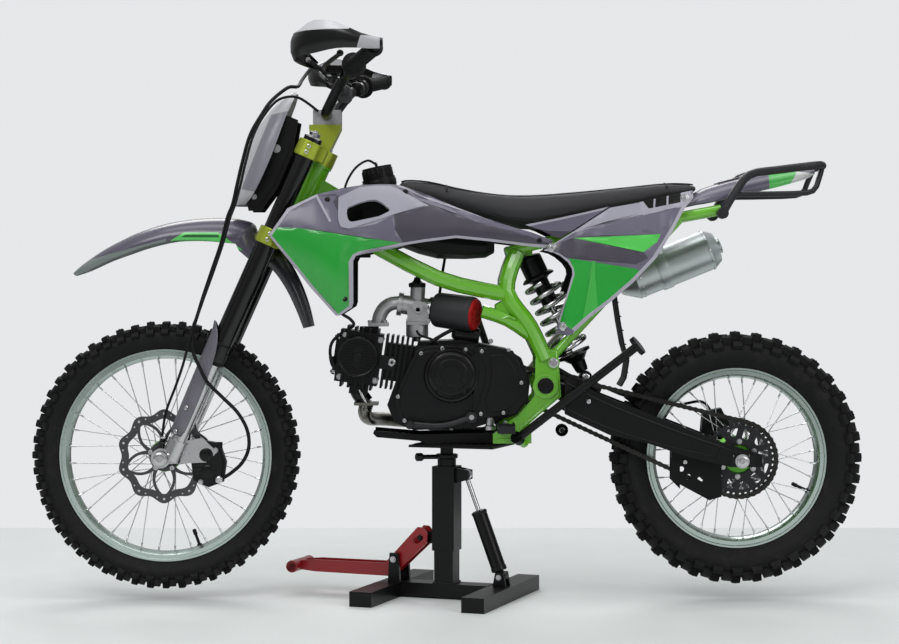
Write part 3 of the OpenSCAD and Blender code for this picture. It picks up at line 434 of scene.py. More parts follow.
paint_by_shape(M["guard"], [
    ((0.56, 0.56, 0.58), [(250, 1186, 0, 1), (196, 1181, 1, 0.2)]),
    ((0.36, 0.36, 0.38), [(173, 1171, -1, -0.3), (134, 1171, 1, 0), (150, 1173, 0, -1), (150, 1147, 0, 1)]),
])

PLAIN = {"stand_base": "black_paint", "stand_mast": "black_paint", "stand_pedal": "red",
         "damper_body": "black_paint", "damper_rod": "steel", "main_frame": "lime",
         "swingarm": "black_paint", "shock_absorber": "steel", "engine_crankcase": "black_metal",
         "engine_cylinder": "black_metal", "carburettor": "cast", "air_filter": "rubber",
         "exhaust_pipe": "pipe", "muffler": "muffler", "fuel_tank": "black", "seat": "seat",
         "tank_shrouds": "green", "side_panels": "green", "rear_fender": "slate",
         "grab_rail": "dark_steel", "skid_plate": "black", "footpegs": "dark_steel",
         "gear_lever": "dark_steel", "brake_pedal": "dark_steel", "kick_starter": "dark_steel",
         "drive_chain": "chain", "chain_guide": "black", "rear_brake": "black_metal",
         "rear_axle": "steel", "side_stand": "black_paint", "triple_clamps": "clamp",
         "fork_tubes": "gloss_black", "fork_sliders": "steel", "fork_guards": "grey",
         "front_fender": "slate", "number_plate": "pale", "handlebar": "black_paint", "grips": "rubber",
         "hand_guards": "guard", "control_levers": "black_metal", "front_axle": "steel",
         "front_brake": "black_metal", "front_cables": "rubber", "front_tyre": "tyre", "front_rim": "rim",
         "front_hub": "hub", "front_disc": "disc", "rear_tyre": "tyre", "rear_rim": "rim",
         "rear_hub": "hub", "rear_sprocket": "dark_steel", "rear_disc": "disc", "plate_bracket": "black",
         "mud_flap": "rubber"}
for name, ob in NODE.items():
    ob.data.materials.clear()
    ob.data.materials.append(M[PLAIN[name]])

# The bar clamp stands on the upper clamp and is bare alloy.
BAR_CLAMP_FROM = 1.0225
clamps = NODE["triple_clamps"].data
clamps.materials.append(M["cast"])
for p in clamps.polygons:
    if p.center.z > BAR_CLAMP_FROM:
        p.material_index = 1

# ------------------------------------------------------------------ wheels

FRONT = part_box("front_tyre")
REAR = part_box("rear_tyre")
front_c = (FRONT[0] + FRONT[1]) / 2
rear_c = (REAR[0] + REAR[1]) / 2
FRONT_AXLE_X, FRONT_AXLE_Z = 606.25, 310
REAR_AXLE_X, REAR_AXLE_Z = -623.75, 305


def polar(c, r, a, y):
    """A point at radius r and angle a (degrees) round a wheel's centre, y to the side, in mm."""
    t = math.radians(a)
    return Vector((c.x + r / 1000 * math.cos(t), c.y + y / 1000, c.z + r / 1000 * math.sin(t)))


def bm_knob(bm, c, a, y, length, width, top, root, tilt=0.0, splay=0.0, notch=False):
    """One tread block: sits on the carcass at angle a, offset y, and tapers to its top."""
    t = math.radians(a)
    er = Vector((math.cos(t), 0, math.sin(t)))
    ea = Vector((-math.sin(t), 0, math.cos(t)))
    s = math.radians(splay)
    out = er * math.cos(s) + AXIS_Y * math.sin(s)
    across = AXIS_Y * math.cos(s) - er * math.sin(s)
    q = math.radians(tilt)
    la = ea * math.cos(q) + across * math.sin(q)
    ac = across * math.cos(q) - ea * math.sin(q)
    base = Vector((c.x, c.y + y / 1000, c.z)) + er * (root / 1000)
    h = (top - root) / 1000
    rings = []
    for k, f in ((0.0, 1.16), (0.8, 1.0), (1.0, 0.93)):
        o = base + out * (h * k)
        hl, hw = length / 2000 * f, width / 2000 * f
        rings.append([o + la * (sx * hl) + ac * (sy * hw)
                      for sx, sy in ((-1, -1), (1, -1), (1, 1), (-1, 1))])
    bm_loft(bm, rings)
    if notch:
        o = base + out * h
        bm_box(bm, o + out * 0.0004, (length * 0.16, width * 0.5, 1.6),
               Matrix((la, ac, out)).transposed())


def tyre(name, c, r_top, half, r_rim, rim_half, count, knobs, body, node_name):
    """The carcass with its side wall ribs, and the tread blocks on it."""
    crown = r_top - knobs["height"]
    bm = bmesh.new()
    outer = []
    n = 22
    mid = (crown + r_rim) / 2 + 3
    for i in range(n + 1):
        a = math.radians(-112 + 224 * i / n)
        y = (half - 3.5) * math.sin(a)
        rise = (crown - mid) if math.cos(a) > 0 else (mid - r_rim) * 1.05
        r = mid + rise * math.cos(a)
        outer.append((y, max(r, r_rim + 1)))
    # the beads and the carcass, as one closed outline
    prof = [(-(rim_half - 2.5), r_rim - 1.5)] + outer + [(rim_half - 2.5, r_rim - 1.5)]
    bm_ring(bm, c, AXIS_Y, prof, 144)
    for s in (-1, 1):
        for rr, w in ((0.30, 1.1), (0.36, 0.8)):
            r = r_rim + (crown - r_rim) * rr
            y = s * (half - 3.5) * math.cos(math.asin(max(-1, min(1, (r - mid) / (crown - mid)))))
            bm_ring(bm, c, AXIS_Y,
                    [(y - 0.9, r - w), (y + 0.9, r - w), (y + 0.9, r + w), (y - 0.9, r + w)], 144)
    add(name + "_carcass", bm, body, M["tyre"], crease=50)
    bm = bmesh.new()
    pitch = 360 / count
    for i in range(count):
        a = i * pitch
        for row in knobs["rows"]:
            if row["every"] > 1 and (i + row.get("phase", 0)) % row["every"]:
                continue
            for s in ((-1, 1) if row["y"] else (0,)):
                y = row["y"] * (s if s else 0)
                rootr = mid + (crown - mid) * math.sqrt(max(0.0, 1 - (y / (half - 3.5)) ** 2)) - 2.5
                bm_knob(bm, c, a + row["shift"] * pitch, y, row["l"], row["w"],
                        rootr + 2.5 + row["h"], rootr, tilt=row.get("tilt", 0) * (s if s else 1),
                        splay=row.get("splay", 0) * (s if s else 0), notch=row.get("notch", False))
    ob = add(name, bm, body, M["tyre"], smooth=False, bevel=0.7, segments=1)
    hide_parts(node_name)


tyre("front_tread", front_c, 289.6, 36, 229, 20, 52,
     {"height": 11.5, "rows": [
         {"y": 0, "every": 2, "shift": 0, "l": 15, "w": 20, "h": 11.5, "notch": True},
         {"y": 11, "every": 2, "phase": 1, "shift": 0, "l": 14, "w": 13, "h": 11.3, "tilt": 8, "splay": 9},
         {"y": 22, "every": 1, "shift": 0.5, "l": 14, "w": 12, "h": 9.5, "tilt": 6, "splay": 30},
         {"y": 29.5, "every": 1, "shift": 0.0, "l": 17, "w": 10, "h": 7.0, "splay": 55}]},
     "front_wheel", "front_tyre")
tyre("rear_tread", rear_c, 272.2, 46, 194, 25, 36,
     {"height": 15.0, "rows": [
         {"y": 9.5, "every": 1, "shift": 0, "l": 19, "w": 15, "h": 15.0, "splay": 3, "notch": True},
         {"y": 27, "every": 1, "shift": 0.5, "l": 20, "w": 16, "h": 13.5, "tilt": 5, "splay": 24},
         {"y": 38, "every": 1, "shift": 0.0, "l": 22, "w": 13, "h": 9.5, "splay": 50}]},
     "rear_wheel", "rear_tyre")


def wheel_parts(tag, c, w, flange_r, flange_y, count, body, rim_node):
    """The rim with its well, spokes hooked into the hub's flanges, and their nipples."""
    bead, well, bed, half = w
    bm = bmesh.new()
    prof = [(half, bead), (half - 2.2, bead + 0.6), (half - 3.6, bead - 0.4), (half - 5, well + 3),
            (half - 8, well), (-(half - 8), well), (-(half - 5), well + 3), (-(half - 3.6), bead - 0.4),
            (-(half - 2.2), bead + 0.6), (-half, bead), (-half, bead - 4), (-(half - 1.4), bead - 5.5),
            (-(half - 1.2), well - 3), (-(half - 6), bed + 5), (-(half * 0.42), bed + 0.6), (0, bed),
            (half * 0.42, bed + 0.6), (half - 6, bed + 5), (half - 1.2, well - 3), (half - 1.4, bead - 5.5),
            (half, bead - 4)]
    bm_ring(bm, c, AXIS_Y, prof, 160)
    rim = add(tag + "_rim_ring", bm, body, M["rim"], crease=28)
    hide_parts(rim_node)
    spokes, nipples = bmesh.new(), bmesh.new()
    for i in range(count):
        side = 1 if i % 2 == 0 else -1
        inner = (i // 2) % 2 == 0
        lean = (1 if inner else -1) * 46
        ra = 360 / count * (i + 0.5)
        ha = ra + lean
        y = side * (flange_y + (2.4 if inner else -2.4))
        a = polar(c, flange_r, ha, y)
        b = polar(c, bed + 2, ra, side * 3)
        d = (b - a).normalized()
        hook = polar(c, flange_r, ha, side * (flange_y + (-2.6 if inner else 2.6)))
        bm_tube(spokes, [hook, a, a + d * 0.004], 1.25, 8)
        bm_tube(spokes, [a, b], 1.15, 8)
        bm_turn(spokes, hook, (hook - a), [(-1.2, 2.2), (0.6, 2.2), (1.3, 1.2)], 10)
        bm_turn(nipples, b + d * 0.002, -d, [(0, 3.0), (3.5, 3.0), (4.2, 2.1), (15, 2.0), (16, 1.4)], 8)
    add(tag + "_spokes", spokes, body, M["spoke"], crease=50)
    add(tag + "_nipples", nipples, body, M["steel"], crease=40)


wheel_parts("front", front_c, (228.6, 218, 208, 22), 29, 27, 36, "front_wheel", "front_rim")
wheel_parts("rear", rear_c, (193.6, 183, 172, 27), 39, 27, 36, "rear_wheel", "rear_rim")


def valve(c, r, a, body, tag):
    """The tube's valve, standing in from the rim towards the axle."""
    bm = bmesh.new()
    p = polar(c, r, a, 0)
    d = (c - p).normalized()
    bm_turn(bm, p, d, [(-2, 5.5), (2.5, 5.5), (3, 3.4), (24, 3.2), (24.5, 4.4), (35, 4.2), (36.5, 2.5)], 14)
    add(tag + "_valve", bm, body, M["rubber"], crease=40)


valve(front_c, 208, 250, "front_wheel", "front")
valve(rear_c, 172, 205, "rear_wheel", "rear")


def hub(tag, c, profile, body, node_name):
    """A turned hub with two spoke flanges."""
    bm = bmesh.new()
    bm_ring(bm, c, AXIS_Y, profile, 72)
    ob = add(tag + "_hub_shell", bm, body, M["hub"], crease=28)
    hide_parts(node_name)


hub("front", front_c, [(-42, 8.6), (-42, 17), (-40.5, 18), (-31, 18), (-30.5, 32.5), (-29.5, 34),
                       (-25, 34), (-24, 32.5), (-19, 23), (-12, 19.5), (12, 19.5), (19, 23), (24, 32.5),
                       (25, 34), (29.5, 34), (30.5, 32.5), (31, 23), (40.5, 23), (42, 22), (42, 8.6)],
    "front_wheel", "front_hub")
hub("rear", rear_c, [(-52, 8.6), (-52, 23), (-50, 24), (-31.5, 24), (-30.5, 43), (-29.5, 44.5),
                     (-25, 44.5), (-24, 43), (-18, 32), (-10, 27), (10, 27), (18, 32), (24, 43),
                     (25, 44.5), (29.5, 44.5), (30.5, 43), (31.5, 30), (50, 30), (52, 29), (52, 8.6)],
    "rear_wheel", "rear_hub")


def wave_disc(tag, c, r, lobes, y, thick, ring_in, hub_r, arms, body, mat, node_name, turn=0.0):
    """A wavy brake disc: a drilled outer ring joined to the hub by curved arms."""
    bm = bmesh.new()
    n = lobes * 14
    amp = r * 0.05
    rings = []
    for i in range(n):
        a = 360 * i / n
        out = r - amp + amp * math.cos(math.radians(lobes * (a - turn)))
        inn = ring_in + amp * 0.55 * math.cos(math.radians(lobes * (a - turn)))
        rings.append([polar(c, inn, a, y - thick / 2), polar(c, out, a, y - thick / 2),
                      polar(c, out, a, y + thick / 2), polar(c, inn, a, y + thick / 2)])
    vs = [[bm.verts.new(p) for p in q] for q in rings]
    for i in range(n):
        p, q = vs[i], vs[(i + 1) % n]
        for j in range(4):
            k = (j + 1) % 4
            bm.faces.new((p[j], p[k], q[k], q[j]))
    bm_ring(bm, c, AXIS_Y, [(y - thick / 2, hub_r), (y - thick / 2, hub_r + 8), (y + thick / 2, hub_r + 8),
                            (y + thick / 2, hub_r)], 60)
    for i in range(arms):
        for hook in (-1, 1):
            a0 = 360 / arms * i + turn
            path = []
            for k in range(9):
                t = k / 8
                path.append((hub_r + 5 + (ring_in - hub_r - 2) * t, a0 + hook * (4 + 26 * t ** 1.6)))
            low, high = [], []
            for k, (rr, aa) in enumerate(path):
                wd = math.degrees((3.4 + 1.2 * abs(k - 4) / 4) / rr)
                low.append((rr, aa - wd))
                high.append((rr, aa + wd))
            loop = low + high[::-1]
            rings2 = [[polar(c, rr, aa, yy) for rr, aa in loop]
                      for yy in (y - thick / 2 + 0.3, y + thick / 2 - 0.3)]
            top = [[bm.verts.new(p) for p in q] for q in rings2]
            m = len(loop)
            for j in range(m):
                k = (j + 1) % m
                bm.faces.new((top[0][j], top[0][k], top[1][k], top[1][j]))
            for j in range(len(low) - 1):
                for t2 in top:
                    bm.faces.new((t2[j], t2[j + 1], t2[m - 2 - j], t2[m - 1 - j]))
    ob = add(tag + "_wave_disc", bm, body, mat, crease=30, bevel=0.3, segments=1)
    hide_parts(node_name)
    # the drilled holes: each is a thin rim round a pale eye, as if the room showed through
    bm = bmesh.new()
    for i in range(lobes):
        for da, dr, rr in ((0, 0.0, 3.6), (-9.5, -2.5, 2.7), (9.5, -2.5, 2.7)):
            a = 360 / lobes * i + turn + da
            rad = (r + ring_in) / 2 + 2 + dr
            for s in (-1, 1):
                bm_ring(bm, polar(c, rad, a, y + s * (thick / 2)), AXIS_Y * s,
                        [(-0.1, rr - 1.0), (0.12, rr - 1.0), (0.12, rr), (-0.1, rr)], 14)
                bm_turn(bm, polar(c, rad, a, y + s * (thick / 2 + 0.02)), AXIS_Y * s,
                        [(0, rr - 0.9), (0.05, rr - 0.9)], 12, 1)
    add(tag + "_disc_holes", bm, body, [mat, M["pale"]], crease=30)
    bm = bmesh.new()
    s = 1 if y > 0 else -1
    for i in range(arms):
        bm_socket(bm, polar(c, hub_r + 6, 360 / arms * i + turn, y + s * thick / 2), AXIS_Y * s, 5.2, 4.5)
    add(tag + "_disc_bolts", bm, body, M["steel"], crease=30)


wave_disc("front", front_c, 101, 10, 44.2, 3.4, 78, 24, 5, "front_wheel", M["disc"], "front_disc", turn=18)
wave_disc("rear", rear_c, 85, 10, -54.2, 3.4, 64, 26, 5, "rear_wheel", M["disc"], "rear_disc")

# ------------------------------------------------------------------ steering parts

RAKE = math.radians(24)
FORK_AT = V(288, 0, 913)
FORK_DOWN = Vector((math.sin(RAKE), 0, -math.cos(RAKE)))
FORK_AHEAD = Vector((math.cos(RAKE), 0, math.sin(RAKE)))
FORK_UP = -FORK_DOWN


FORK_Y = 85
UPPER_CLAMP, LOWER_CLAMP = -45, 158
FORK_AHEAD_MM = 27.0


def leg(t, side, ahead=FORK_AHEAD_MM):
    """A point t mm down the steering axis, side mm to the left and ahead mm in front of it."""
    return FORK_AT + FORK_DOWN * (t / 1000) + FORK_AHEAD * (ahead / 1000) + Vector((0, side / 1000, 0))


def finish_node(name, bevel):
    """Shades a CAD node smooth over its shallow edges and rounds its sharp ones."""
    ob = NODE[name]
    for p in ob.data.polygons:
        p.use_smooth = True
    ob.data.set_sharp_from_angle(angle=math.radians(35))
    if bevel:
        round_edges(ob, bevel)


for name, r in (("triple_clamps", 1.6), ("fork_tubes", 0.8), ("fork_sliders", 1.2), ("front_axle", 0.8),
                ("front_brake", 1.5), ("control_levers", 1.0), ("handlebar", 0), ("rear_axle", 0.8),
                ("rear_brake", 1.5), ("swingarm", 2.5), ("engine_crankcase", 2.5), ("engine_cylinder", 0.8),
                ("skid_plate", 0.8), ("footpegs", 0.8), ("stand_base", 1.5), ("stand_mast", 1.5),
                ("stand_pedal", 1.0), ("damper_body", 1.0), ("damper_rod", 0.6), ("side_stand", 0),
                ("muffler", 1.2), ("carburettor", 0), ("chain_guide", 0.8), ("gear_lever", 0),
                ("brake_pedal", 0), ("kick_starter", 0.6), ("main_frame", 0), ("fuel_tank", 0),
                ("air_filter", 1.5), ("grab_rail", 0), ("plate_bracket", 1.5), ("exhaust_pipe", 0),
                ("rear_sprocket", 0.4)):
    finish_node(name, r)


# Fork caps, seals and pinch bolts.
bm = bmesh.new()
dark = bmesh.new()
for s in (-FORK_Y, FORK_Y):
    top = leg(-71, s)
    bm_turn(bm, top, FORK_UP, [(0, 20), (2.5, 20), (3.5, 18.6), (4, 13), (4.5, 12.4)], 40)
    bm_turn(bm, top + FORK_UP * 0.004, FORK_UP, [(0, 12), (8, 12), (9, 11)], 6)
    bm_turn(bm, top + FORK_UP * 0.012, FORK_UP, [(0, 5), (4, 5), (5, 3.8)], 20)
    low = leg(446, s)
    bm_turn(dark, low, FORK_DOWN, [(0, 24), (3, 24.3), (6, 22), (8, 18.5), (9, 16.4)], 40)
    bm_turn(dark, leg(405, s), FORK_DOWN, [(0, 22.6), (1, 23.4), (5, 23.4), (6, 22.6)], 40)
for t in (UPPER_CLAMP, LOWER_CLAMP):
    for s in (-1, 1):
        for off in (-6.5, 6.5):
            bm_socket(bm, leg(t, s * 110) + FORK_DOWN * (off / 1000), AXIS_Y * s, 4.4, 3)
bm_turn(bm, FORK_AT + FORK_DOWN * (UPPER_CLAMP - 14) / 1000, FORK_UP,
        [(0, 17), (1.5, 17), (2, 15.5), (9, 15.5), (10, 14)], 6)
add("fork_caps", bm, "steering", M["steel"], crease=30)
add("fork_seals", dark, "steering", M["rubber"], crease=30)

# Clamp bands: a thicker lip at each end of a clamp, round each tube.
bm = bmesh.new()
for t in (UPPER_CLAMP, LOWER_CLAMP):
    for s in (-FORK_Y, FORK_Y):
        bm_turn(bm, leg(t, s) + FORK_DOWN * 0.0125, FORK_DOWN,
                [(0, 25.5), (1.2, 26.5), (4, 26.5), (5, 25.5)], 40)
        bm_turn(bm, leg(t, s) - FORK_DOWN * 0.0175, FORK_DOWN,
                [(0, 25.5), (1.2, 26.5), (4, 26.5), (5, 25.5)], 40)
add("clamp_lips", bm, "steering", M["clamp"], crease=30)

# Fork guards: smooth shells with a raised tip and a rib. Rows of distance down the fork, radius
# and half span in degrees.
bm = bmesh.new()
GUARD = [(366, 31, 16), (380, 30, 48), (405, 29.5, 78), (450, 29, 96), (520, 27.5, 104), (590, 25.5, 108),
         (629, 24.4, 106)]
for s in (-1, 1):
    rings = []
    for t, r, span in GUARD:
        c = leg(t, s * FORK_Y)
        lift = 5 if t < 370 else 0
        outer, inner = [], []
        for k in range(17):
            a = math.radians(-span + 2 * span * k / 16)
            rib = 1.4 if k in (7, 8, 9) else 0.0
            e = FORK_AHEAD * math.cos(a) + Vector((0, math.sin(a), 0))
            outer.append(c + e * ((r + rib) / 1000) + FORK_AHEAD * (lift / 1000))
            inner.append(c + e * ((r - 2.4) / 1000) + FORK_AHEAD * (lift / 1000))
        rings.append(outer + inner[::-1])
    bm_loft(bm, rings)
ob = add("fork_guard_shells", bm, "steering", M["grey"], sub=1)
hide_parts("fork_guards")
bm = bmesh.new()
for s in (-1, 1):
    for t in (560, 615):
        a = math.radians(62) * s
        e = FORK_AHEAD * math.cos(a) + Vector((0, math.sin(a), 0))
        bm_socket(bm, leg(t, s * FORK_Y) + e * 0.0255, e, 5, 3)
# axle pinch bolts on the lugs
for s in (-1, 1):
    for t in (639, 649):
        bm_socket(bm, leg(t, s * FORK_Y, FORK_AHEAD_MM + 20.5), FORK_AHEAD, 3.8, 3)
add("guard_bolts", bm, "steering", M["steel"], crease=30)

# Front fender: one thin shell that drops towards its edges. Rows of x, z, half width and drop.
FENDER = [
    (808, 703, 10, 6), (786, 722, 34, 16), (742, 752, 46, 24), (701, 774, 54, 30), (659, 793, 60, 34),
    (600, 811, 64, 38), (540, 820, 66, 44), (480, 822, 66, 50), (436, 817, 66, 50), (414, 806, 65, 48),
    (405, 776, 64, 44), (384, 764, 62, 40), (358, 750, 58, 38), (335, 721, 54, 34), (314, 681, 50, 30),
    (297, 635, 44, 26), (286, 589, 38, 20)]


def line_normal(line, i):
    """The unit vector square to a line of (x, z, ...) rows at row i."""
    a, b = line[max(i - 1, 0)], line[min(i + 1, len(line) - 1)]
    d = Vector((a[1] - b[1], b[0] - a[0]))
    return d / d.length


def fender_shell(line, ridge):
    """The rings of a thin shell over rows of x, z, half width and drop at the edge, with two ridges."""
    thick, k_max = 2.8, 8
    rings = []
    for i, (x, z, half, drop) in enumerate(line):
        n = line_normal(line, i)
        out, inn = [], []
        for k in range(-k_max, k_max + 1):
            u = k / k_max
            q = drop * abs(u) ** 2.2
            bump = ridge * max(0, 1 - abs(abs(u) - 0.5) / 0.22) if drop > 10 else 0
            y = half * math.sin(math.pi / 2 * u)
            out.append(V(x + n[0] * (q - bump), y, z + n[1] * (q - bump)))
            inn.append(V(x + n[0] * (q + thick), y * (half - 2.2) / half, z + n[1] * (q + thick)))
        rings.append(out + inn[::-1])
    return rings


def resample(line, steps):
    """A smoother table, with so many rows for each stretch of the given one."""
    return [tuple(p) for p in spline([Vector(p) for p in line], steps)]


M["fender"] = finish_of("fender_plastic", SLATE, 0.3, coat=0.3, bump=0.03, vary=0.05, rough_var=0.04)
paint_by_shape(M["fender"], [((0.15, 0.18, 0.17), [(784, 727, -0.26, -0.965), (600, 760, 1, 0)]),
                             ((0.022, 0.024, 0.028), [(396, 760, -1, 0), (380, 786, 0, -1)]),
                             (PALE_GREEN,
                              [(590, 772, -0.53, -0.85), (560, 790, 0, -1), (487, 789, 0.59, -0.81),
                               (560, 752, 0, 1)]),
                             ((0.008, 0.10, 0.02),
                              [(566, 780, -0.53, -0.85), (560, 785, 0, -1), (487, 780, 1, 0),
                               (560, 779, 0, 1)])])
bm = bmesh.new()
bm_loft(bm, fender_shell(resample(FENDER, 3), 0))
ob = add("front_fender_shell", bm, "steering", M["fender"], crease=60)
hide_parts("front_fender")

# Number plate: a crowned shield with a raised border. Rows of z, x, half width and sweep back.
PLATE = [
    (1092, 338, 26, 12), (1074, 362, 48, 30), (1040, 392, 66, 46), (1000, 418, 78, 58),
    (950, 440, 84, 62), (900, 456, 84, 56), (868, 462, 74, 44), (848, 462, 52, 26)]
bm = bmesh.new()
rings = []
for z, x, half, back in resample(PLATE, 3):
    out, inn = [], []
    for k in range(-9, 10):
        u = k / 9
        q = back * abs(u) ** 2.4
        y = half * math.sin(math.pi / 2 * u)
        border = 1.0 if abs(u) > 0.86 else 0.0
        out.append(V(x - q - 1.2 + border, y, z))
        inn.append(V(x - 3.4 - q, y * (half - 2) / half, z))
    rings.append(out + inn[::-1])
bm_loft(bm, rings)
M["plate"] = finish_of("plate_plastic", (0.46, 0.46, 0.48), 0.34, coat=0.1, bump=0.04, vary=0.05,
                       rough_var=0.04)
paint_by_shape(M["plate"], [
    ((0.23, 0.225, 0.265), [(384, 1040, -0.2, -1), (392, 1000, -0.93, -0.36), (420, 878, -0.2, 1)]),
])
ob = add("number_plate_shell", bm, "steering", M["plate"], crease=50)
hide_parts("number_plate")
bm = bmesh.new()
for s in (-1, 1):
    bm_turn(bm, V(364, s * 59, 969), AXIS_Y * s, [(0, 9), (2, 9), (2, 0)], 24)
    bm_hex(bm, V(364, s * 61, 969), AXIS_Y * s, 11, 6)
    bm_hex(bm, V(412, s * 59.2, 866), AXIS_Y * s, 9, 5)
add("bracket_bolts", bm, "steering", M["steel"], crease=30)
# ribs moulded on the bracket's cheeks
bm = bmesh.new()
for s in (-1, 1):
    y0, y1 = (58.6, 60.2) if s > 0 else (-60.2, -58.6)
    bm_plate(bm, rounded([(350, 1034), (328, 1024), (338, 962), (370, 890), (402, 845), (420, 846),
                          (424, 884), (380, 978)], 6), y0, y1)
    for z0 in (905, 925, 1000, 1016):
        x0 = 376 if z0 < 950 else 338
        bm_tube(bm, [V(x0, s * 60, z0 + 8), V(x0 + 32, s * 60, z0 - 14)], 1.6, 8)
add("bracket_ribs", bm, "steering", M["black"], bevel=0.6, crease=30)

# Grips with rings and flanges.
GRIP_IN, GRIP_END = V(192, 250, 1128), V(143, 380, 1152)
for s in (1, -1):
    a, b = (GRIP_IN, GRIP_END) if s > 0 else (flip(GRIP_IN), flip(GRIP_END))
    d = (b - a)
    length = d.length * 1000
    prof = [(2, 11.6), (2, 25), (3, 26), (5.5, 26), (6.5, 25), (7.5, 18), (9, 16.6)]
    h = 11
    while h < length - 14:
        prof += [(h, 15.0), (h + 1.2, 16.0), (h + 3.4, 16.0), (h + 4.4, 15.0)]
        h += 5.6
    prof += [(length - 12, 15.6), (length - 9, 18), (length - 5, 18), (length - 3.5, 16.5),
             (length - 3, 11.6)]
    bm = bmesh.new()
    bm_turn(bm, a, d, prof, 32)
    ob = add("grip_left" if s > 0 else "grip_right", bm, "steering", M["rubber"], crease=35)
    if s > 0:
        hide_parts("grips")

# Handlebar swept as one tube, with its crossbar and pad.
half_bar = [V(258, 0, 1042), V(258, 40, 1042), V(258, 62, 1042), V(252, 108, 1050), V(218, 178, 1104),
            V(192, 250, 1128), (GRIP_IN + GRIP_END) / 2, GRIP_END]
path = spline([flip(p) for p in half_bar[:0:-1]] + half_bar, 6)
bm = bmesh.new()
bm_tube(bm, path, 11, 24)
bm_tube(bm, [V(224, -165, 1091), V(224, 165, 1091)], 6.6, 16)
for s in (-1, 1):
    bm_turn(bm, V(224, s * 150, 1091), AXIS_Y * s, [(0, 8), (2, 9.5), (14, 9.5), (16, 8)], 20)
ob = add("handlebar_tube", bm, "steering", M["black_paint"], crease=50)
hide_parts("handlebar")
bm = bmesh.new()
pad = []
for k in range(9):
    y = -95 + 190 * k / 8
    r = 19 - 3.5 * abs(k - 4) / 4
    pad.append([V(224 + r * 1.05 * math.copysign(abs(math.cos(a)) ** 0.6, math.cos(a)), y,
                  1091 + r * 0.85 * math.copysign(abs(math.sin(a)) ** 0.6, math.sin(a)))
                for a in [2 * math.pi * (j + 0.5) / 16 for j in range(16)]])
bm_loft(bm, pad)
ob = add("crossbar_pad", bm, "steering", M["seat"], sub=1)

# Levers with pivot bolts, perches, switch pods, a cable adjuster and the master cylinder.
bm, bolts, perches = bmesh.new(), bmesh.new(), bmesh.new()
for s in (1, -1):
    def on_side(x, y, z):
        return V(x, s * y, z)

    pts = spline([on_side(240, 206, 1122), on_side(252, 222, 1124), on_side(248, 262, 1127),
                  on_side(236, 304, 1132), on_side(221, 340, 1138), on_side(214, 362, 1142)], 5)
    rad = [5.5] * 6 + [5.2] * 8 + [4.8] * 8 + [4.5] * (len(pts) - 22)
    bm_tube(bm, pts, rad, 14)
    bm_turn(bm, on_side(214, 359, 1142), (on_side(214, 366, 1143) - on_side(221, 340, 1138)),
            [(-5, 3), (-3, 6), (0, 7.4), (3, 6), (5, 3)], 16)
    bm_box(bm, on_side(232, 213, 1123), (30, 22, 16))
    bm_turn(bolts, on_side(243, 212, 1130.5), UP, [(0, 6), (3, 6), (4, 5)], 6)
    bm_turn(bolts, on_side(243, 212, 1113), DOWN, [(0, 5.5), (3, 5.5), (4, 4.5)], 6)
    # clamp round the bar and its two bolts
    bm_turn(perches, on_side(203, 200, 1118), on_side(190, 250, 1128) - on_side(203, 200, 1118),
            [(0, 15), (1, 16.5), (15, 16.5), (16, 15)], 28)
    for dz in (-9, 9):
        bm_socket(bolts, on_side(222, 206, 1118 + dz), Vector((1, 0, 0.1)), 3.6, 4)
    # switch pod next to the grip
    bm_turn(perches, on_side(198.5, 228, 1124), on_side(190, 250, 1128) - on_side(198.5, 228, 1124),
            [(0, 17), (1.5, 19), (14, 19), (16, 17)], 28)
    bm_box(perches, on_side(196, 232, 1146), (16, 14, 12))
bm_turn(bolts, V(196, 232, 1151), UP, [(0, 4), (2.5, 4), (3, 3)], 16)
# cable adjuster on the clutch side
bm_turn(bolts, V(244, 200, 1124), Vector((0.75, -0.6, 0.1)),
        [(-4, 6), (0, 6), (2, 4), (14, 4), (15, 5.2), (24, 5.2), (25, 3.6)], 18)
# master cylinder on the right
bm_box(perches, V(240, -190, 1140), (34, 44, 20))
bm_box(perches, V(240, -190, 1151.5), (37, 47, 3.5))
for dx in (-11, 11):
    bm_socket(bolts, V(240 + dx, -190, 1153), UP, 3, 1.5)
ob = add("levers", bm, "steering", M["black_metal"], crease=35, bevel=0.8)
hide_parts("control_levers")
add("lever_perches", perches, "steering", M["black_metal"], crease=35, bevel=1.2)
add("lever_screws", bolts, "steering", M["steel"], crease=30)

# Hand guards: curved shells with a shallow groove, on brackets. Rows of y, x, low z and high z.
HAND_GUARD = [(196, 268, 1122, 1140), (216, 292, 1128, 1164), (250, 307, 1132, 1185),
              (296, 312, 1135, 1187), (340, 298, 1137, 1190), (372, 266, 1140, 1206),
              (390, 220, 1148, 1200), (394, 170, 1148, 1178), (392, 128, 1144, 1168)]
line = resample(HAND_GUARD, 3)
for s in (1, -1):
    rings = []
    for i, (y, x, z0, z1) in enumerate(line):
        a, b = line[max(i - 1, 0)], line[min(i + 1, len(line) - 1)]
        d = Vector((b[1] - a[1], b[0] - a[0])).normalized()
        n = Vector((d[1], -d[0]))
        out, inn = [], []
        for k in range(11):
            u = k / 10
            bulge = 7 * math.sin(math.pi * u) - (1.0 if 0.3 < u < 0.62 else 0)
            out.append(V(x + n[0] * bulge, s * (y + n[1] * bulge), z0 + (z1 - z0) * u))
            inn.append(V(x + n[0] * (bulge - 3), s * (y + n[1] * (bulge - 3)), z0 + 1 + (z1 - z0 - 2) * u))
        rings.append(out + inn[::-1])
    bm = bmesh.new()
    bm_loft(bm, rings)
    ob = add("hand_guard_left" if s > 0 else "hand_guard_right", bm, "steering", M["guard"], crease=50)
    if s > 0:
        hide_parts("hand_guards")
bm, bolts = bmesh.new(), bmesh.new()
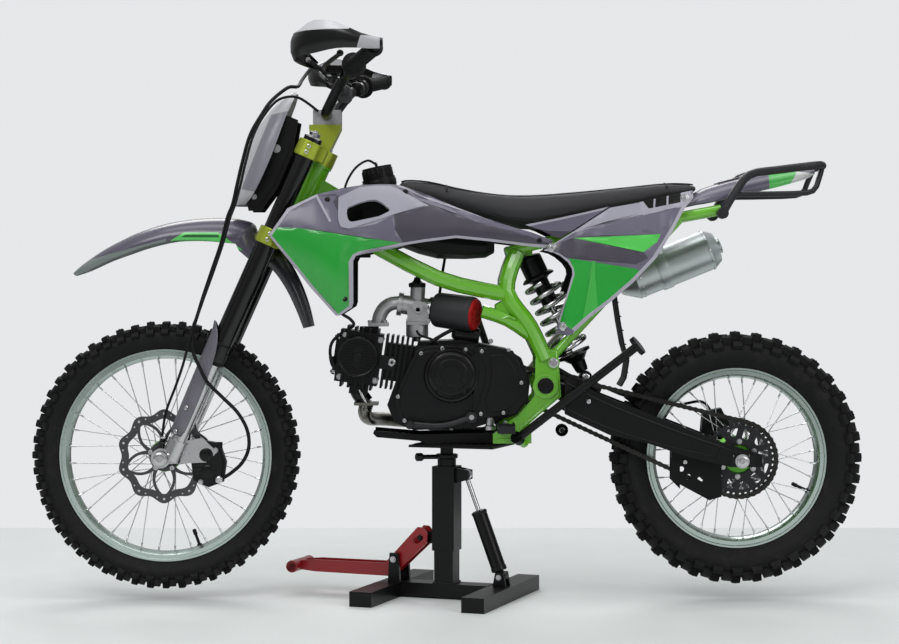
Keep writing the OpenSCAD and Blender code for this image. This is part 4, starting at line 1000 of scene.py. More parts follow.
for s in (1, -1):
    bm_turn(bm, V(141, s * 380, 1153), Vector((0, s, 0.12)), [(0, 11), (2, 12), (9, 12), (11, 10)], 24)
    bm_tube(bm, [V(150, s * 391, 1156), V(186, s * 393.5, 1160), V(226, s * 386, 1162)], 5.5, 12)
    bm_tube(bm, [V(214, s * 190, 1108), V(244, s * 197, 1116), V(268, s * 203, 1128),
                 V(284, s * 210, 1140)], 5.5, 12)
    bm_hex(bolts, V(142, s * 391, 1154), Vector((0, s, 0.1)), 11, 5)
    bm_hex(bolts, V(287, s * 209, 1143), Vector((0.6, -s * 0.75, 0)), 9, 4)
add("guard_mounts", bm, "steering", M["black"], crease=35)
add("guard_mount_bolts", bolts, "steering", M["steel"], crease=30)

# Brake hose and speedometer cable along their routes. Rows of x, y and z.
HOSE = [
    (262, -206, 1147), (276, -190, 1158), (298, -150, 1164), (317, -76, 1130), (323, -10, 1108),
    (342, 36, 1101), (374, 72, 1070), (393, 98, 1038), (416, 112, 994), (432, 117, 936), (443, 119, 888),
    (452, 119, 848), (463, 119, 820), (476, 119, 767), (497, 121, 704), (513, 122, 656), (524, 123, 620),
    (533, 123, 590), (538, 123, 560), (534, 123, 533), (523, 122, 507), (505, 119, 472), (474, 113, 440),
    (443, 108, 408), (423, 104, 371), (420, 98, 333), (434, 92, 301), (460, 86, 277), (484, 78.5, 263)]
SPEEDO = [
    (276, 44, 1050), (318, 60, 1078), (356, 86, 1072), (384, 108, 1040), (408, 120, 994), (424, 125, 936),
    (435, 127, 888), (446, 127, 848), (458, 127, 815), (472, 127, 764), (493, 129, 702), (510, 130, 655),
    (523, 131, 618), (533, 131, 595), (541, 130, 567), (555, 124, 514), (572, 115, 466), (595, 100, 409),
    (606, 76, 358)]
bm = bmesh.new()
bm_hose(bm, HOSE, 3.9, 12, 6)
bm_hose(bm, SPEEDO, 2.9, 12, 6)
ob = add("hose_and_cable", bm, "steering", M["rubber"], crease=60)
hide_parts("front_cables")

# ------------------------------------------------------------------ bodywork sheets

M["green_panel"] = finish_of("panel_green", (0.012, 0.30, 0.030), 0.22, coat=0.35, coat_rough=0.1,
                             bump=0.02, vary=0.05, rough_var=0.04)
M["pale_green_panel"] = finish_of("panel_pale_green", (0.07, 0.50, 0.07), 0.24, coat=0.5, bump=0.02,
                                  vary=0.04)
M["slate_panel"] = finish_of("panel_slate", (0.115, 0.106, 0.150), 0.34, coat=0.15, bump=0.03, vary=0.05)
M["slate_dark"] = finish_of("panel_dark_slate", (0.048, 0.042, 0.060), 0.36, coat=0.12, bump=0.03,
                            vary=0.06)
M["slate_light"] = finish_of("panel_light_slate", (0.30, 0.295, 0.35), 0.36, coat=0.12, bump=0.03,
                             vary=0.05)
M["edge_grey"] = finish_of("panel_edge", (0.33, 0.32, 0.375), 0.38, coat=0.1, bump=0.03, vary=0.04)
# Paler green along the side panel's crease: a painted highlight where the crease catches the light.
M["crease_green"] = finish_of("panel_crease_green", (0.045, 0.37, 0.055), 0.24, coat=0.3, bump=0.02,
                              vary=0.04)


def inside(poly, x, z):
    """Whether a point lies inside an outline."""
    hit = False
    n = len(poly)
    for i in range(n):
        (x0, z0), (x1, z1) = poly[i], poly[(i + 1) % n]
        if (z0 > z) != (z1 > z) and x < (x1 - x0) * (z - z0) / (z1 - z0) + x0:
            hit = not hit
    return hit


def band(points, width):
    """A stripe of even width along a line of (x, z) points, as an outline."""
    left, right = [], []
    n = len(points)
    for i in range(n):
        a, b = Vector(points[max(i - 1, 0)]), Vector(points[min(i + 1, n - 1)])
        d = (b - a).normalized()
        p = Vector(points[i])
        e = Vector((-d.y, d.x)) * (width / 2)
        left.append(tuple(p + e))
        right.append(tuple(p - e))
    return left + right[::-1]


# the material of a panel's inner face, as an index into PANEL_MATS: black, painted shade on the sheet's
# inside
INNER_SHADE = 6


def panel(name, outline, y_of, fields, mats, side, holes, pitch, thick, bevel=0.0):
    """A moulded sheet over an outline in (x, z), mm. y_of gives its height, fields its colours."""
    loops = [outline] + list(holes) + [f for _, f in fields]
    pts, edges = [], []
    for loop in loops:
        k = len(pts)
        n = len(loop)
        pts += [Vector((p[0], p[1])) for p in loop]
        edges += [(k + i, k + (i + 1) % n) for i in range(n)]
    x0, x1 = min(p[0] for p in outline), max(p[0] for p in outline)
    z0, z1 = min(p[1] for p in outline), max(p[1] for p in outline)
    row = 0
    z = z0 + pitch / 2
    while z < z1:
        x = x0 + (pitch / 2 if row % 2 else pitch)
        while x < x1:
            if inside(outline, x, z) and not any(inside(h, x, z) for h in holes):
                pts.append(Vector((x, z)))
            x += pitch
        z += pitch * 0.87
        row += 1
    vs, _, fs, _, _, _ = geometry.delaunay_2d_cdt(pts, edges, [], 0, 0.01)
    bm = bmesh.new()
    made = {}

    def vert(i):
        if i not in made:
            px, pz = vs[i]
            made[i] = bm.verts.new(V(px, side * y_of(px, pz), pz))
        return made[i]

    for f in fs:
        cx = sum(vs[i][0] for i in f) / len(f)
        cz = sum(vs[i][1] for i in f) / len(f)
        if not inside(outline, cx, cz) or any(inside(h, cx, cz) for h in holes):
            continue
        key = 0
        for m, poly in fields:
            if inside(poly, cx, cz):
                key = m
        face = bm.faces.new([vert(i) for i in f])
        face.material_index = key
    bmesh.ops.recalc_face_normals(bm, faces=bm.faces)
    up = sum(f.normal.y * f.calc_area() for f in bm.faces) * side
    if up < 0:
        bmesh.ops.reverse_faces(bm, faces=bm.faces)
    bmesh.ops.solidify(bm, geom=bm.faces[:], thickness=thick / 1000)
    bm.normal_update()
    # faces turned inwards are painted black as shade
    if len(mats) > INNER_SHADE:
        for f in bm.faces:
            if f.normal.y * side < -0.3:
                f.material_index = INNER_SHADE
    return add(name, bm, "chassis", mats, crease=50, bevel=bevel, segments=1)


def rows_of(table):
    """A height function from rows of (x, z low, z high, y low, y middle, y high)."""
    def slope(k, c):
        a, b = table[max(k - 1, 0)], table[min(k + 1, len(table) - 1)]
        return (b[c] - a[c]) / (a[0] - b[0])

    def at(x, z):
        r = table
        x = min(max(x, r[-1][0]), r[0][0])
        i = next(k for k in range(len(r) - 1) if r[k + 1][0] <= x)
        a, b = r[i], r[i + 1]
        w = a[0] - b[0]
        t = (a[0] - x) / w
        val = [x]
        for c in range(1, 6):
            h = (2 * t ** 3 - 3 * t * t + 1) * a[c] + (3 * t * t - 2 * t ** 3) * b[c]
            if c > 2:
                h += (t ** 3 - 2 * t * t + t) * w * slope(i, c) + (t ** 3 - t * t) * w * slope(i + 1, c)
            val.append(h)
        u = min(max((z - val[1]) / max(val[2] - val[1], 1), 0.0), 1.0)
        c1, c2, c3 = (1 - u) * (1 - 2 * u), 4 * u * (1 - u), u * (2 * u - 1)
        return c1 * val[3] + c2 * val[4] + c3 * val[5]
    return at


FRONT_ROWS = [
    (374, 776, 784, 133, 134, 133), (336, 732, 838, 132, 138, 128), (300, 688, 860, 130, 144, 122),
    (272, 656, 871, 130, 148, 116), (234, 612, 882, 130, 150, 106), (200, 630, 890, 126, 146, 94)]
REAR_ROWS = [
    (192, 736, 892, 124, 128, 90), (140, 748, 892, 120, 118, 80), (100, 758, 892, 116, 112, 74),
    (40, 770, 866, 110, 104, 74), (-20, 776, 842, 104, 102, 82), (-75, 774, 822, 102, 102, 90),
    (-140, 766, 800, 100, 104, 98), (-196, 758, 790, 98, 102, 102), (-224, 764, 776, 98, 101, 102)]
front_y, rear_y = rows_of(FRONT_ROWS), rows_of(REAR_ROWS)


def shroud_y(x, z):
    """The shroud's height: the two tables, blended over the 90 mm behind the fork."""
    t = min(max((x - 150) / 90, 0.0), 1.0)
    t = t * t * (3 - 2 * t)
    return rear_y(min(x, 192), z) * (1 - t) + front_y(max(x, 200), z) * t


SHROUD = [(275, 869), (336, 839), (352, 816), (374, 784), (372, 778), (316, 709), (288, 673), (234, 613),
          (226, 613), (200, 630), (197, 640), (197, 728), (192, 738), (180, 744), (100, 760), (45, 769),
          (-19, 777), (-90, 770), (-170, 760), (-208, 756), (-222, 766), (-224, 772), (-177, 790),
          (-140, 800), (-75, 822), (-20, 843), (37, 867), (100, 890), (121, 892), (142, 892), (177, 890),
          (227, 881)]
WINDOW = [(209, 841), (186, 851), (165, 857), (150, 858), (139, 853), (121, 838), (121, 834), (142, 823),
          (196, 811), (204, 811), (209, 818), (211, 830)]
SHROUD_FIELDS = [(2, [(100, 840), (60, 858), (37, 850), (-60, 812), (-170, 782), (-215, 766), (-215, 758),
                      (-90, 768), (-19, 778), (30, 772), (92, 766), (109, 793), (112, 826)]),
                 (2, [(268, 866), (232, 870), (240, 852), (230, 834), (212, 829), (216, 850),
                      (227, 866)]),
                 (1, [(362, 799), (310, 797), (92, 766), (80, 760), (197, 737), (197, 625), (232, 606),
                      (320, 700), (378, 782)]), (4, band([(276, 868), (262, 842), (245, 811)], 5)),
                 (4, band([(275, 871), (337, 839), (374, 786), (376, 780), (316, 708), (288, 672),
                           (232, 610), (197, 632)], 14)),
                 (4, band([(201, 628), (201, 726), (194, 738), (180, 744), (100, 760), (45, 769),
                           (-19, 777), (-90, 770), (-170, 760), (-215, 757)], 11)),
                 (4, band([(104, 890), (37, 861), (-53, 831), (-111, 813), (-159, 799), (-205, 784)], 5)),
                 (3, [(229, 863), (185, 885), (150, 889), (121, 889), (107, 884), (39, 846), (112, 826),
                      (150, 806), (205, 795), (223, 799), (229, 817)])]
PANEL_MATS = [M["slate_panel"], M["green_panel"], M["slate_dark"], M["slate_light"], M["edge_grey"],
              M["pale_green_panel"], M["black"], M["crease_green"]]
FRAME_OUT = rounded([(229, 863), (185, 884), (150, 888), (121, 888), (107, 883), (44, 847), (112, 827),
                     (205, 796), (223, 799), (229, 817)], 6, 3)
for s in (1, -1):
    tag = "left" if s > 0 else "right"
    ob = panel("tank_shroud_" + tag, SHROUD, shroud_y, SHROUD_FIELDS, PANEL_MATS, s, [WINDOW], 8.0, 3.0)
    if s > 0:
        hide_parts("tank_shrouds")
    panel("window_frame_" + tag, FRAME_OUT, lambda x, z: shroud_y(x, z) + 3.2, [], [M["slate_light"]], s,
          [rounded(WINDOW, 3, 2)], 8.0, 7.0, bevel=1.2)
    # screws on the shroud
    bm = bmesh.new()
    for x, z in ((252, 858), (214, 648), (88, 876), (-196, 772)):
        bm_socket(bm, V(x, s * (shroud_y(x, z) + 0.2), z), Vector((0.1, s, 0.15)), 5.5, 2.2)
    add("shroud_screws_" + tag, bm, "chassis", M["black_metal"], crease=30)

SIDE_ROWS = [(-204, 750, 753, 105, 105), (-240, 706, 774, 114, 106), (-248, 610, 779, 124, 106),
             (-262, 572, 788, 128, 104), (-300, 606, 812, 128, 102), (-345, 640, 842, 126, 97),
             (-392, 680, 850, 122, 90), (-440, 730, 861, 116, 84), (-476, 786, 869, 106, 79),
             (-504, 838, 876, 92, 76), (-524, 862, 880, 80, 75)]
side_y0 = rows_of([(x, a, b, lo, (lo + hi) / 2 + min(5, (b - a) * 0.08), hi)
                   for x, a, b, lo, hi in SIDE_ROWS])


def side_y(x, z):
    """The panel's face, with two raised creases down its lower half."""
    y = side_y0(x, z)
    for cx, w, h in ((-322 + (z - 690) * -0.06, 5, 1.6), (-300 + (z - 690) * 0.02, 7, 1.2)):
        d = abs(x - cx) / w
        if d < 1 and z < 745:
            y += h * (1 - d) * min(1, (745 - z) / 30)
    return y


def wing_y(x, z):
    """The wing is flat in front and leans in towards the tail."""
    return 102.5 - max(0, -x - 262) * 0.045


SIDE = [(-205, 751), (-240, 773), (-262, 787), (-300, 812), (-345, 841), (-392, 850), (-440, 860),
        (-476, 868), (-504, 875), (-524, 879), (-524, 863), (-504, 839), (-476, 788), (-440, 732),
        (-392, 682), (-345, 642), (-300, 608), (-264, 574), (-252, 570), (-238, 576), (-232, 590),
        (-240, 616), (-250, 650), (-265, 700), (-264, 712), (-256, 726), (-240, 740), (-222, 748)]
FOOT = [(-524, 862), (-504, 839), (-476, 793), (-440, 765), (-392, 743), (-345, 705), (-300, 673),
        (-262, 653), (-250, 655), (-265, 700), (-264, 712), (-256, 726), (-240, 740), (-222, 748)]
SIDE_RIGHT = SIDE[:10] + FOOT
WING = [(-166, 805), (-200, 812), (-240, 820), (-290, 831), (-345, 844), (-300, 814.5), (-262, 790.5),
        (-240, 777), (-224, 781), (-196, 795)]
WING_FIELDS = [(2, [(-172, 800), (-215, 792), (-262, 791), (-240, 776), (-224, 780), (-196, 794)]),
               (4, [(-160, 805), (-200, 813), (-240, 821), (-290, 832), (-345, 845), (-330, 836),
                    (-290, 827), (-240, 815.5), (-200, 807.5), (-172, 801)])]
SIDE_FIELDS = [(3, [(-273, 793), (-343, 841), (-410, 852), (-499, 870), (-524, 879), (-498, 846),
                    (-442, 836), (-410, 828)]),
               (0, [(-273, 791), (-410, 828), (-442, 836), (-500, 845), (-470, 795), (-444, 786),
                    (-267, 779), (-250, 776)]),
               (2, [(-208, 755), (-245, 770), (-267, 777), (-415, 748), (-425, 734), (-399, 721),
                    (-251, 736), (-235, 743)]), (5, [(-267, 777), (-452, 785), (-444, 768), (-415, 747)]),
               (1, [(-258, 734), (-397, 712), (-410, 706), (-380, 670), (-250, 560), (-225, 580),
                    (-245, 640), (-265, 700), (-265, 718)]),
               # painted highlight along the crease
               (7, [(-307, 728), (-312, 728), (-313, 690), (-318, 628), (-300, 606), (-284, 594)]),
               (4, band([(-203, 752), (-240, 774), (-273, 793), (-343, 842)], 5)),
               (4, band([(-273, 791), (-410, 828), (-442, 836), (-496, 844)], 3.5)),
               (4, band([(-528, 868), (-504, 839), (-476, 788), (-440, 732), (-392, 682), (-345, 642),
                         (-300, 608), (-255, 568)], 15)),
               (4, band([(-232, 588), (-240, 616), (-250, 650), (-266, 700), (-264, 712), (-256, 727),
                         (-236, 741), (-205, 751)], 7)), (0, band([(-227, 588), (-262, 570)], 26)),
               (4, band([(-412, 842), (-520, 866)], 34)),
               (6, [(-414, 859), (-440, 863), (-438, 841), (-428, 840)]),
               (6, [(-444, 864), (-468, 869), (-466, 847), (-442, 842)]),
               (6, [(-472, 869), (-498, 874), (-496, 853), (-470, 848)])]
for s in (1, -1):
    tag = "left" if s > 0 else "right"
    ob = panel("side_panel_" + tag, SIDE if s > 0 else SIDE_RIGHT, side_y, SIDE_FIELDS, PANEL_MATS, s, [],
               8.0, 3.0)
    if s > 0:
        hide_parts("side_panels")
    bm = bmesh.new()
    low_screw = (-246, 590) if s > 0 else (-262, 676)
    for x, z in (low_screw, (-222, 756), (-505, 862)):
        bm_turn(bm, V(x, s * (side_y(x, z) + 0.2), z), AXIS_Y * s, [(0, 9.5), (1.4, 9.5), (1.8, 8)], 24)
        bm_socket(bm, V(x, s * (side_y(x, z) + 1.6), z), AXIS_Y * s, 5.5, 3)
    add("panel_screws_" + tag, bm, "chassis", M["steel"], crease=30)
    # Wing that closes the corner between the shroud, the seat and the side panel.
    panel("seat_wing_" + tag, WING, wing_y, WING_FIELDS, PANEL_MATS, s, [], 9.0, 2.6)

# ------------------------------------------------------------------ seat

SEAT_SQUARE = 0.55
SEAT_VOXEL = 0.0065
SEAT_SWELL_MAX = 0.0015
CLOTH_FRAMES = 8
# Rows of x, low z, high z, half width low and half width high.
SEAT = [
    (104, 884, 894, 38, 32), (90, 868, 904, 50, 42), (40, 852, 902, 60, 50), (-20, 834, 888, 68, 56),
    (-75, 818, 878, 76, 62), (-130, 802, 872, 84, 70), (-190, 796, 872, 92, 78), (-250, 806, 876, 94, 80),
    (-320, 822, 882, 88, 74), (-400, 840, 890, 78, 64), (-470, 858, 897, 66, 52), (-520, 872, 896, 54, 40),
    (-538, 882, 892, 40, 28)]
seat_line = resample(SEAT, 3)


def seat_ring(x, lo, hi, wl, wh, grow):
    """One section of the seat: a squared oval from lo to hi, wl wide below and wh above."""
    n = 28
    out = []
    mid, half = (lo + hi) / 2, (hi - lo) / 2 + grow
    for k in range(n):
        a = 2 * math.pi * k / n
        c, sn = math.cos(a), math.sin(a)
        w = (wl if sn < 0 else wl + (wh - wl) * sn) + grow
        y = w * math.copysign(abs(c) ** SEAT_SQUARE, c)
        z = mid + half * math.copysign(abs(sn) ** SEAT_SQUARE, sn)
        out.append(V(x, y, z))
    return out


bm = bmesh.new()
bm_loft(bm, [seat_ring(*p, grow=-1.5) for p in seat_line])
ob = add("seat_cushion", bm, "chassis", M["seat"], crease=80)
rm = ob.modifiers.new("remesh", "REMESH")
rm.mode = "VOXEL"
rm.voxel_size = SEAT_VOXEL
dg = bpy.context.evaluated_depsgraph_get()
me = bpy.data.meshes.new_from_object(ob.evaluated_get(dg))
ob.modifiers.clear()
ob.data = me
start = [v.co.copy() for v in me.vertices]
cl = ob.modifiers.new("cloth", "CLOTH")
cl.settings.use_pressure = True
cl.settings.uniform_pressure_force = 3.0
cl.settings.effector_weights.gravity = 0
cl.settings.quality = 4
cl.settings.tension_stiffness = 30
cl.settings.compression_stiffness = 30
cl.settings.bending_stiffness = 2.0
sc = bpy.context.scene
for fr in range(1, CLOTH_FRAMES + 1):
    sc.frame_set(fr)
dg = bpy.context.evaluated_depsgraph_get()
me = bpy.data.meshes.new_from_object(ob.evaluated_get(dg))
ob.modifiers.clear()
sc.frame_set(1)
for v, a in zip(me.vertices, start):
    d = v.co - a
    if d.length > SEAT_SWELL_MAX:
        v.co = a + d * (SEAT_SWELL_MAX / d.length)
ob.data = me
for p in me.polygons:
    p.use_smooth = True
md = ob.modifiers.new("sub", "SUBSURF")
md.levels = md.render_levels = 1
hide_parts("seat")

# Seam welts: along both top edges and both lower edges, and across the seat in two places.
bm = bmesh.new()
for s in (1, -1):
    top, low = [], []
    for x, lo, hi, wl, wh in seat_line[2:-2]:
        a = math.radians(54)
        w = wl + (wh - wl) * math.sin(a)
        top.append(V(x, s * (w - 1.2) * math.cos(a) ** SEAT_SQUARE,
                     (lo + hi) / 2 + (hi - lo) / 2 * math.sin(a) ** SEAT_SQUARE - 0.6))
        low.append(V(x, s * (wl - 0.6), (lo + hi) / 2 - (hi - lo) / 2 * 0.55))
    bm_tube(bm, top, 1.7, 8)
    bm_tube(bm, low, 1.5, 8)
for i in (8, 30):
    x, lo, hi, wl, wh = seat_line[i]
    ring = seat_ring(x, lo, hi, wl, wh, grow=-0.4)
    bm_tube(bm, ring[1:14], 1.5, 8)
add("seat_welts", bm, "chassis", M["rubber"], crease=60)

# ------------------------------------------------------------------ rear fender and tail

TAIL = [
    (-240, 790, 48, 3), (-330, 810, 48, 3), (-420, 829, 48, 3), (-500, 856, 54, 12), (-548, 884, 66, 30),
    (-600, 900, 64, 34), (-660, 914, 60, 34), (-720, 924, 54, 30), (-770, 930, 46, 22), (-790, 931, 38, 12)]
tail = resample(TAIL, 3)
bm = bmesh.new()
bm_loft(bm, fender_shell(tail, 2.2))
M["tail"] = finish_of("tail_plastic", (0.120, 0.112, 0.155), 0.3, coat=0.3, bump=0.03, vary=0.05)
paint_by_shape(M["tail"], [
    ((0.62, 0.64, 0.62), [(-722, 900, -1, 0), (-790, 900, 1, 0), (-700, 927, 0.12, -1)]),
    (PALE_GREEN, [(-690, 900, -1, 0), (-742, 905, 1, 0.6), (-700, 925, 0.12, -1)]),
    ((0.40, 0.39, 0.45), [(-548, 873, 0.22, -1), (-620, 892, 0.1, 1.0), (-540, 860, -1, 0)]),
])
ob = add("rear_fender_shell", bm, "chassis", M["tail"], crease=60)
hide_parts("rear_fender")
# a shallow rib each side and the two mounting bolts
bm = bmesh.new()
for s in (1, -1):
    bm_tube(bm, [V(x, s * half * 0.42, z + 0.6) for x, z, half, drop in tail[14:25]], 2.0, 8)
add("tail_ribs", bm, "chassis", M["slate_dark"], crease=60)
bm = bmesh.new()
for x, z in ((-640, 911), (-700, 922)):
    for s in (1, -1):
        bm_socket(bm, V(x, s * 16, z - 1), UP, 5, 4)
add("tail_bolts", bm, "chassis", M["steel"], crease=30)

# ------------------------------------------------------------------ tank cap

cap_axis = V(5, 0, 24).normalized()
bm = bmesh.new()
bm_turn(bm, V(144, 0, 890), cap_axis, [(0, 34), (0, 36.5), (3, 37), (12, 37), (14, 36), (15, 30)], 48)
rings = []
u, v = basis(cap_axis)
for h, r, amp in ((15, 29, 0), (16, 31, 0.5), (18, 32.6, 1.2), (36, 32.6, 1.2), (39.5, 30.6, 0.9),
                  (41.2, 27, 0.2), (41.4, 21, 0), (39.8, 19.5, 0), (39.8, 8, 0)):
    c = V(144, 0, 890) + cap_axis * (h / 1000)
    rings.append(ridged(c, r, amp, u, v, 108, 3))
bm_loft(bm, rings)
bm_tube(bm, [V(151, 0, 930), V(153, 0, 938), V(156, 0, 942)], 3.2, 10)
add("tank_cap", bm, "chassis", M["black"], crease=40)
bm = bmesh.new()
bm_hose(bm, [(156, 0, 940), (172, 8, 946), (196, 24, 930), (214, 40, 900), (222, 52, 868)], 2.6, 10, 6)
add("breather_hose", bm, "chassis", M["rubber"], crease=60)

# ------------------------------------------------------------------ engine

TILT = math.radians(8)
HEAD_AT = V(70, 0, 505)
BARREL_WAY = Vector((math.cos(TILT), 0, math.sin(TILT)))
HEAD_UP = Vector((-math.sin(TILT), 0, math.cos(TILT)))
HEAD_ROT = Matrix((BARREL_WAY, AXIS_Y, HEAD_UP)).transposed()


def on_head(x, y, z):
    """A point in the cylinder's own frame, in mm: x out along the barrel."""
    return HEAD_AT + BARREL_WAY * (x / 1000) + AXIS_Y * (y / 1000) + HEAD_UP * (z / 1000)


def grow(outline, r):
    """Moves each corner of a roughly convex outline outwards by r."""
    cx = sum(p[0] for p in outline) / len(outline)
    cz = sum(p[1] for p in outline) / len(outline)
    out = []
    for x, z in outline:
        d = math.hypot(x - cx, z - cz)
        out.append((x + (x - cx) / d * r, z + (z - cz) / d * r))
    return out


bm = bmesh.new()
bolts = bmesh.new()
for s in (1, -1):
    base = s * 72
    bm_ring(bm, on_head(122, base, 2), AXIS_Y * s,
            [(-6, 38), (2.5, 38), (3.5, 40), (3.5, 42), (2, 43.5), (-6, 43.5)], 56)
    for k in range(-5, 6):
        zz = k * 6.2
        w = math.sqrt(max(37.0 ** 2 - zz ** 2, 9)) * 2
        if abs(k) < 4:
            for side in (-1, 1):
                x_mid = side * (w / 2 + 9) / 2
                bm_box(bm, on_head(122 + x_mid, base + s * 1.2, 2 + zz), (w / 2 - 9, 4.6, 2.2), HEAD_ROT)
        else:
            bm_box(bm, on_head(122, base + s * 1.2, 2 + zz), (w, 4.6, 2.2), HEAD_ROT)
    bm_turn(bm, on_head(122, base - s, 2), AXIS_Y * s, [(0, 9), (5, 9), (6.5, 7)], 24)
    for dx, dz in ((-44, 44), (-44, -44), (34, 46), (34, -46)):
        bm_hex(bolts, on_head(122 + dx * 0.98, s * 53, dz), AXIS_Y * s, 9.5, 6)
for dx in (100, 150):
    for dz in (-38, 38):
        bm_turn(bolts, on_head(167, dx - 125, dz), BARREL_WAY, [(0, 7.5), (1.5, 7.5)], 18)
        bm_turn(bolts, on_head(168, dx - 125, dz), BARREL_WAY, [(0, 6.2), (6, 6.2), (9, 3.4), (10, 1)], 6)
bm_box(bm, on_head(60, 52, -2), (30, 16, 30), HEAD_ROT)
bm_turn(bolts, on_head(48, 59, 0), AXIS_Y, [(0, 8), (2, 8), (3, 6.5), (3, 3), (1, 3)], 20)
add("head_covers", bm, "chassis", M["black_metal"], crease=35, bevel=0.5, segments=1)
add("head_nuts", bolts, "chassis", M["steel"], crease=30)

# Left covers: a stepped casting with a round boss, ribs and its screws.
COVER = [(64, 540), (36, 547), (4, 549), (-28, 545), (-60, 546), (-78, 520), (-84, 498), (-72, 448),
         (-64, 400), (-50, 388), (30, 378), (70, 374), (98, 392), (110, 440), (90, 488)]
bm = bmesh.new()
bm_plate(bm, rounded(COVER, 12), 78, 81)
bm_plate(bm, rounded(grow(COVER, -9), 12), 80, 84.5)
REAR_COVER = [(-62, 542), (-92, 545), (-128, 542), (-152, 516), (-165, 480), (-168, 448), (-152, 416),
              (-128, 400), (-70, 396), (-64, 420), (-78, 460), (-84, 498), (-76, 522)]
bm_plate(bm, rounded(REAR_COVER, 9), 90, 93)
bm_plate(bm, rounded([(-92, 530), (-122, 530), (-140, 508), (-153, 478), (-155, 450), (-143, 424),
                      (-122, 410), (-90, 408), (-80, 430), (-92, 465), (-96, 500)], 9), 92, 96)
add("engine_covers", bm, "chassis", M["black_metal"], crease=30, bevel=1.4)
bm = bmesh.new()
c = V(-10, 91, 486)
bm_ring(bm, V(-10, 84, 486), AXIS_Y, [(-2, 50.5), (9, 50.5), (10.5, 52), (10, 56), (0, 60), (-2, 60)], 72)
bm_turn(bm, c, AXIS_Y, [(0, 50), (1.5, 49), (4, 44), (5.2, 43), (5.4, 36), (7.5, 35), (8.8, 33),
                        (8.9, 22), (7.6, 21), (7.6, 3)], 72)
for k in range(12):
    a = math.radians(30 * k)
    e = Vector((math.cos(a), 0, math.sin(a)))
    bm_tube(bm, [c + e * 0.023 + AXIS_Y * 0.0085, c + e * 0.032 + AXIS_Y * 0.0085], 1.1, 6)
bm_plate(bm, rounded([(-46, 520), (-62, 534), (-70, 510), (-64, 470), (-72, 430), (-66, 426), (-54, 462),
                      (-52, 492)], 5), 84, 93)
add("alternator_cap", bm, "chassis", M["black_metal"], crease=28)
bm = bmesh.new()
for x, z, y in ((-74, 537, 96), (-131, 540, 93), (-158, 470, 93), (-120, 406, 93), (-72, 404, 93),
                (90, 389, 81), (104, 440, 81), (55, 532, 81), (10, 543, 81), (-20, 386, 81),
                (40, 380, 81), (-40, 540, 81)):
    bm_socket(bm, V(x, y - 0.5, z), AXIS_Y, 4.2, 5)
for x, z in ((-90, 545), (-140, 506), (-150, 440), (-100, 400)):
    bm_hex(bm, V(x - 4, 50, z + 12), AXIS_Y, 8, 5)
add("cover_screws", bm, "chassis", M["steel"], crease=30)

# Right side: clutch cover with its ring of screws, oil filler and a round cap above it.
bm, bolts = bmesh.new(), bmesh.new()
c = V(-58, -104, 444)
bm_ring(bm, c, -AXIS_Y, [(-2, 58), (2.2, 58), (3.4, 60), (3.4, 66), (1, 69), (-2, 69)], 72)
bm_turn(bm, V(-58, -112, 444), -AXIS_Y, [(0, 38), (2, 36), (3.5, 30), (3.6, 12), (2.2, 11), (2.2, 2)], 56)
for k in range(8):
    a = math.radians(45 * k + 20)
    p = c + Vector((math.cos(a), 0, math.sin(a))) * 0.0625 - AXIS_Y * 0.003
    bm_socket(bolts, p, -AXIS_Y, 4.2, 4)
bm_turn(bm, V(30, -58, 420), -AXIS_Y, [(0, 17), (8, 17), (9, 15), (20, 15), (21, 13)], 12)
bm_turn(bm, V(20, -58, 500), -AXIS_Y, [(0, 34), (18, 34), (21, 30), (22, 10)], 40)
add("clutch_cover_trim", bm, "chassis", M["black_metal"], crease=30)
add("clutch_screws", bolts, "chassis", M["steel"], crease=30)

# Breather on top of the case, cooling ribs on its belly, and its drain bolt.
bm = bmesh.new()
bm_turn(bm, V(-70, 30, 566), BARREL_WAY, [(0, 14), (2, 18), (52, 18), (56, 12), (60, 8)], 28)
for k in range(5):
    bm_box(bm, V(-40 + 20 * k, -6, 372 - (2 * k if k < 3 else 0)), (4, 92, 9))
add("case_details", bm, "chassis", M["black_metal"], crease=35, bevel=0.8)
bm = bmesh.new()
bm_hex(bm, V(-10, -10, 369), DOWN, 14, 8)
bm_turn(bm, V(-92, 60, 394), DOWN, [(0, 9), (16, 9), (18, 12), (26, 12), (27, 9)], 20)
add("drain_bolt", bm, "chassis", M["steel"], crease=30)

# Spark plug with its lead, the other leads and hoses, the coil and the carburettor's cap.
bm = bmesh.new()
bm_turn(bm, on_head(150, 44, -8), (BARREL_WAY * 0.62 + AXIS_Y * 0.2 + HEAD_UP * -0.2),
        [(0, 7), (8, 7), (9, 9), (14, 9), (15, 6)], 16)
add("spark_plug", bm, "chassis", M["steel"], crease=30)
bm = bmesh.new()
bm_hose(bm, [(242, 46, 505), (250, 46, 528), (246, 50, 554), (226, 55, 574), (200, 58, 590),
             (206, 60, 604), (226, 66, 618), (236, 70, 640), (230, 66, 690), (196, 50, 740)], 3.4, 10, 6)
bm_hose(bm, [(224, 46, 500), (236, 46, 500), (243, 46, 508), (247, 46, 524)], 6.5, 12, 5)
bm_hose(bm, [(39, 52, 552), (10, 48, 570), (-20, 44, 586), (-46, 40, 604), (-70, 40, 640)], 4.2, 10, 6)
bm_hose(bm, [(62, 8, 676), (66, 10, 700), (84, 20, 728), (130, 30, 750), (190, 26, 772), (250, 18, 810)],
        2.6, 10, 6)
bm_hose(bm, [(69, 20, 588), (58, 40, 570), (30, 52, 560), (2, 50, 540)], 2.6, 10, 6)
bm_hose(bm, [(44, -14, 612), (20, -40, 640), (10, -30, 700), (0, -10, 760)], 3.2, 10, 6)
add("leads_and_hoses", bm, "chassis", M["rubber"], crease=60)
bm = bmesh.new()
bm_box(bm, V(190, 34, 748), (52, 26, 24))
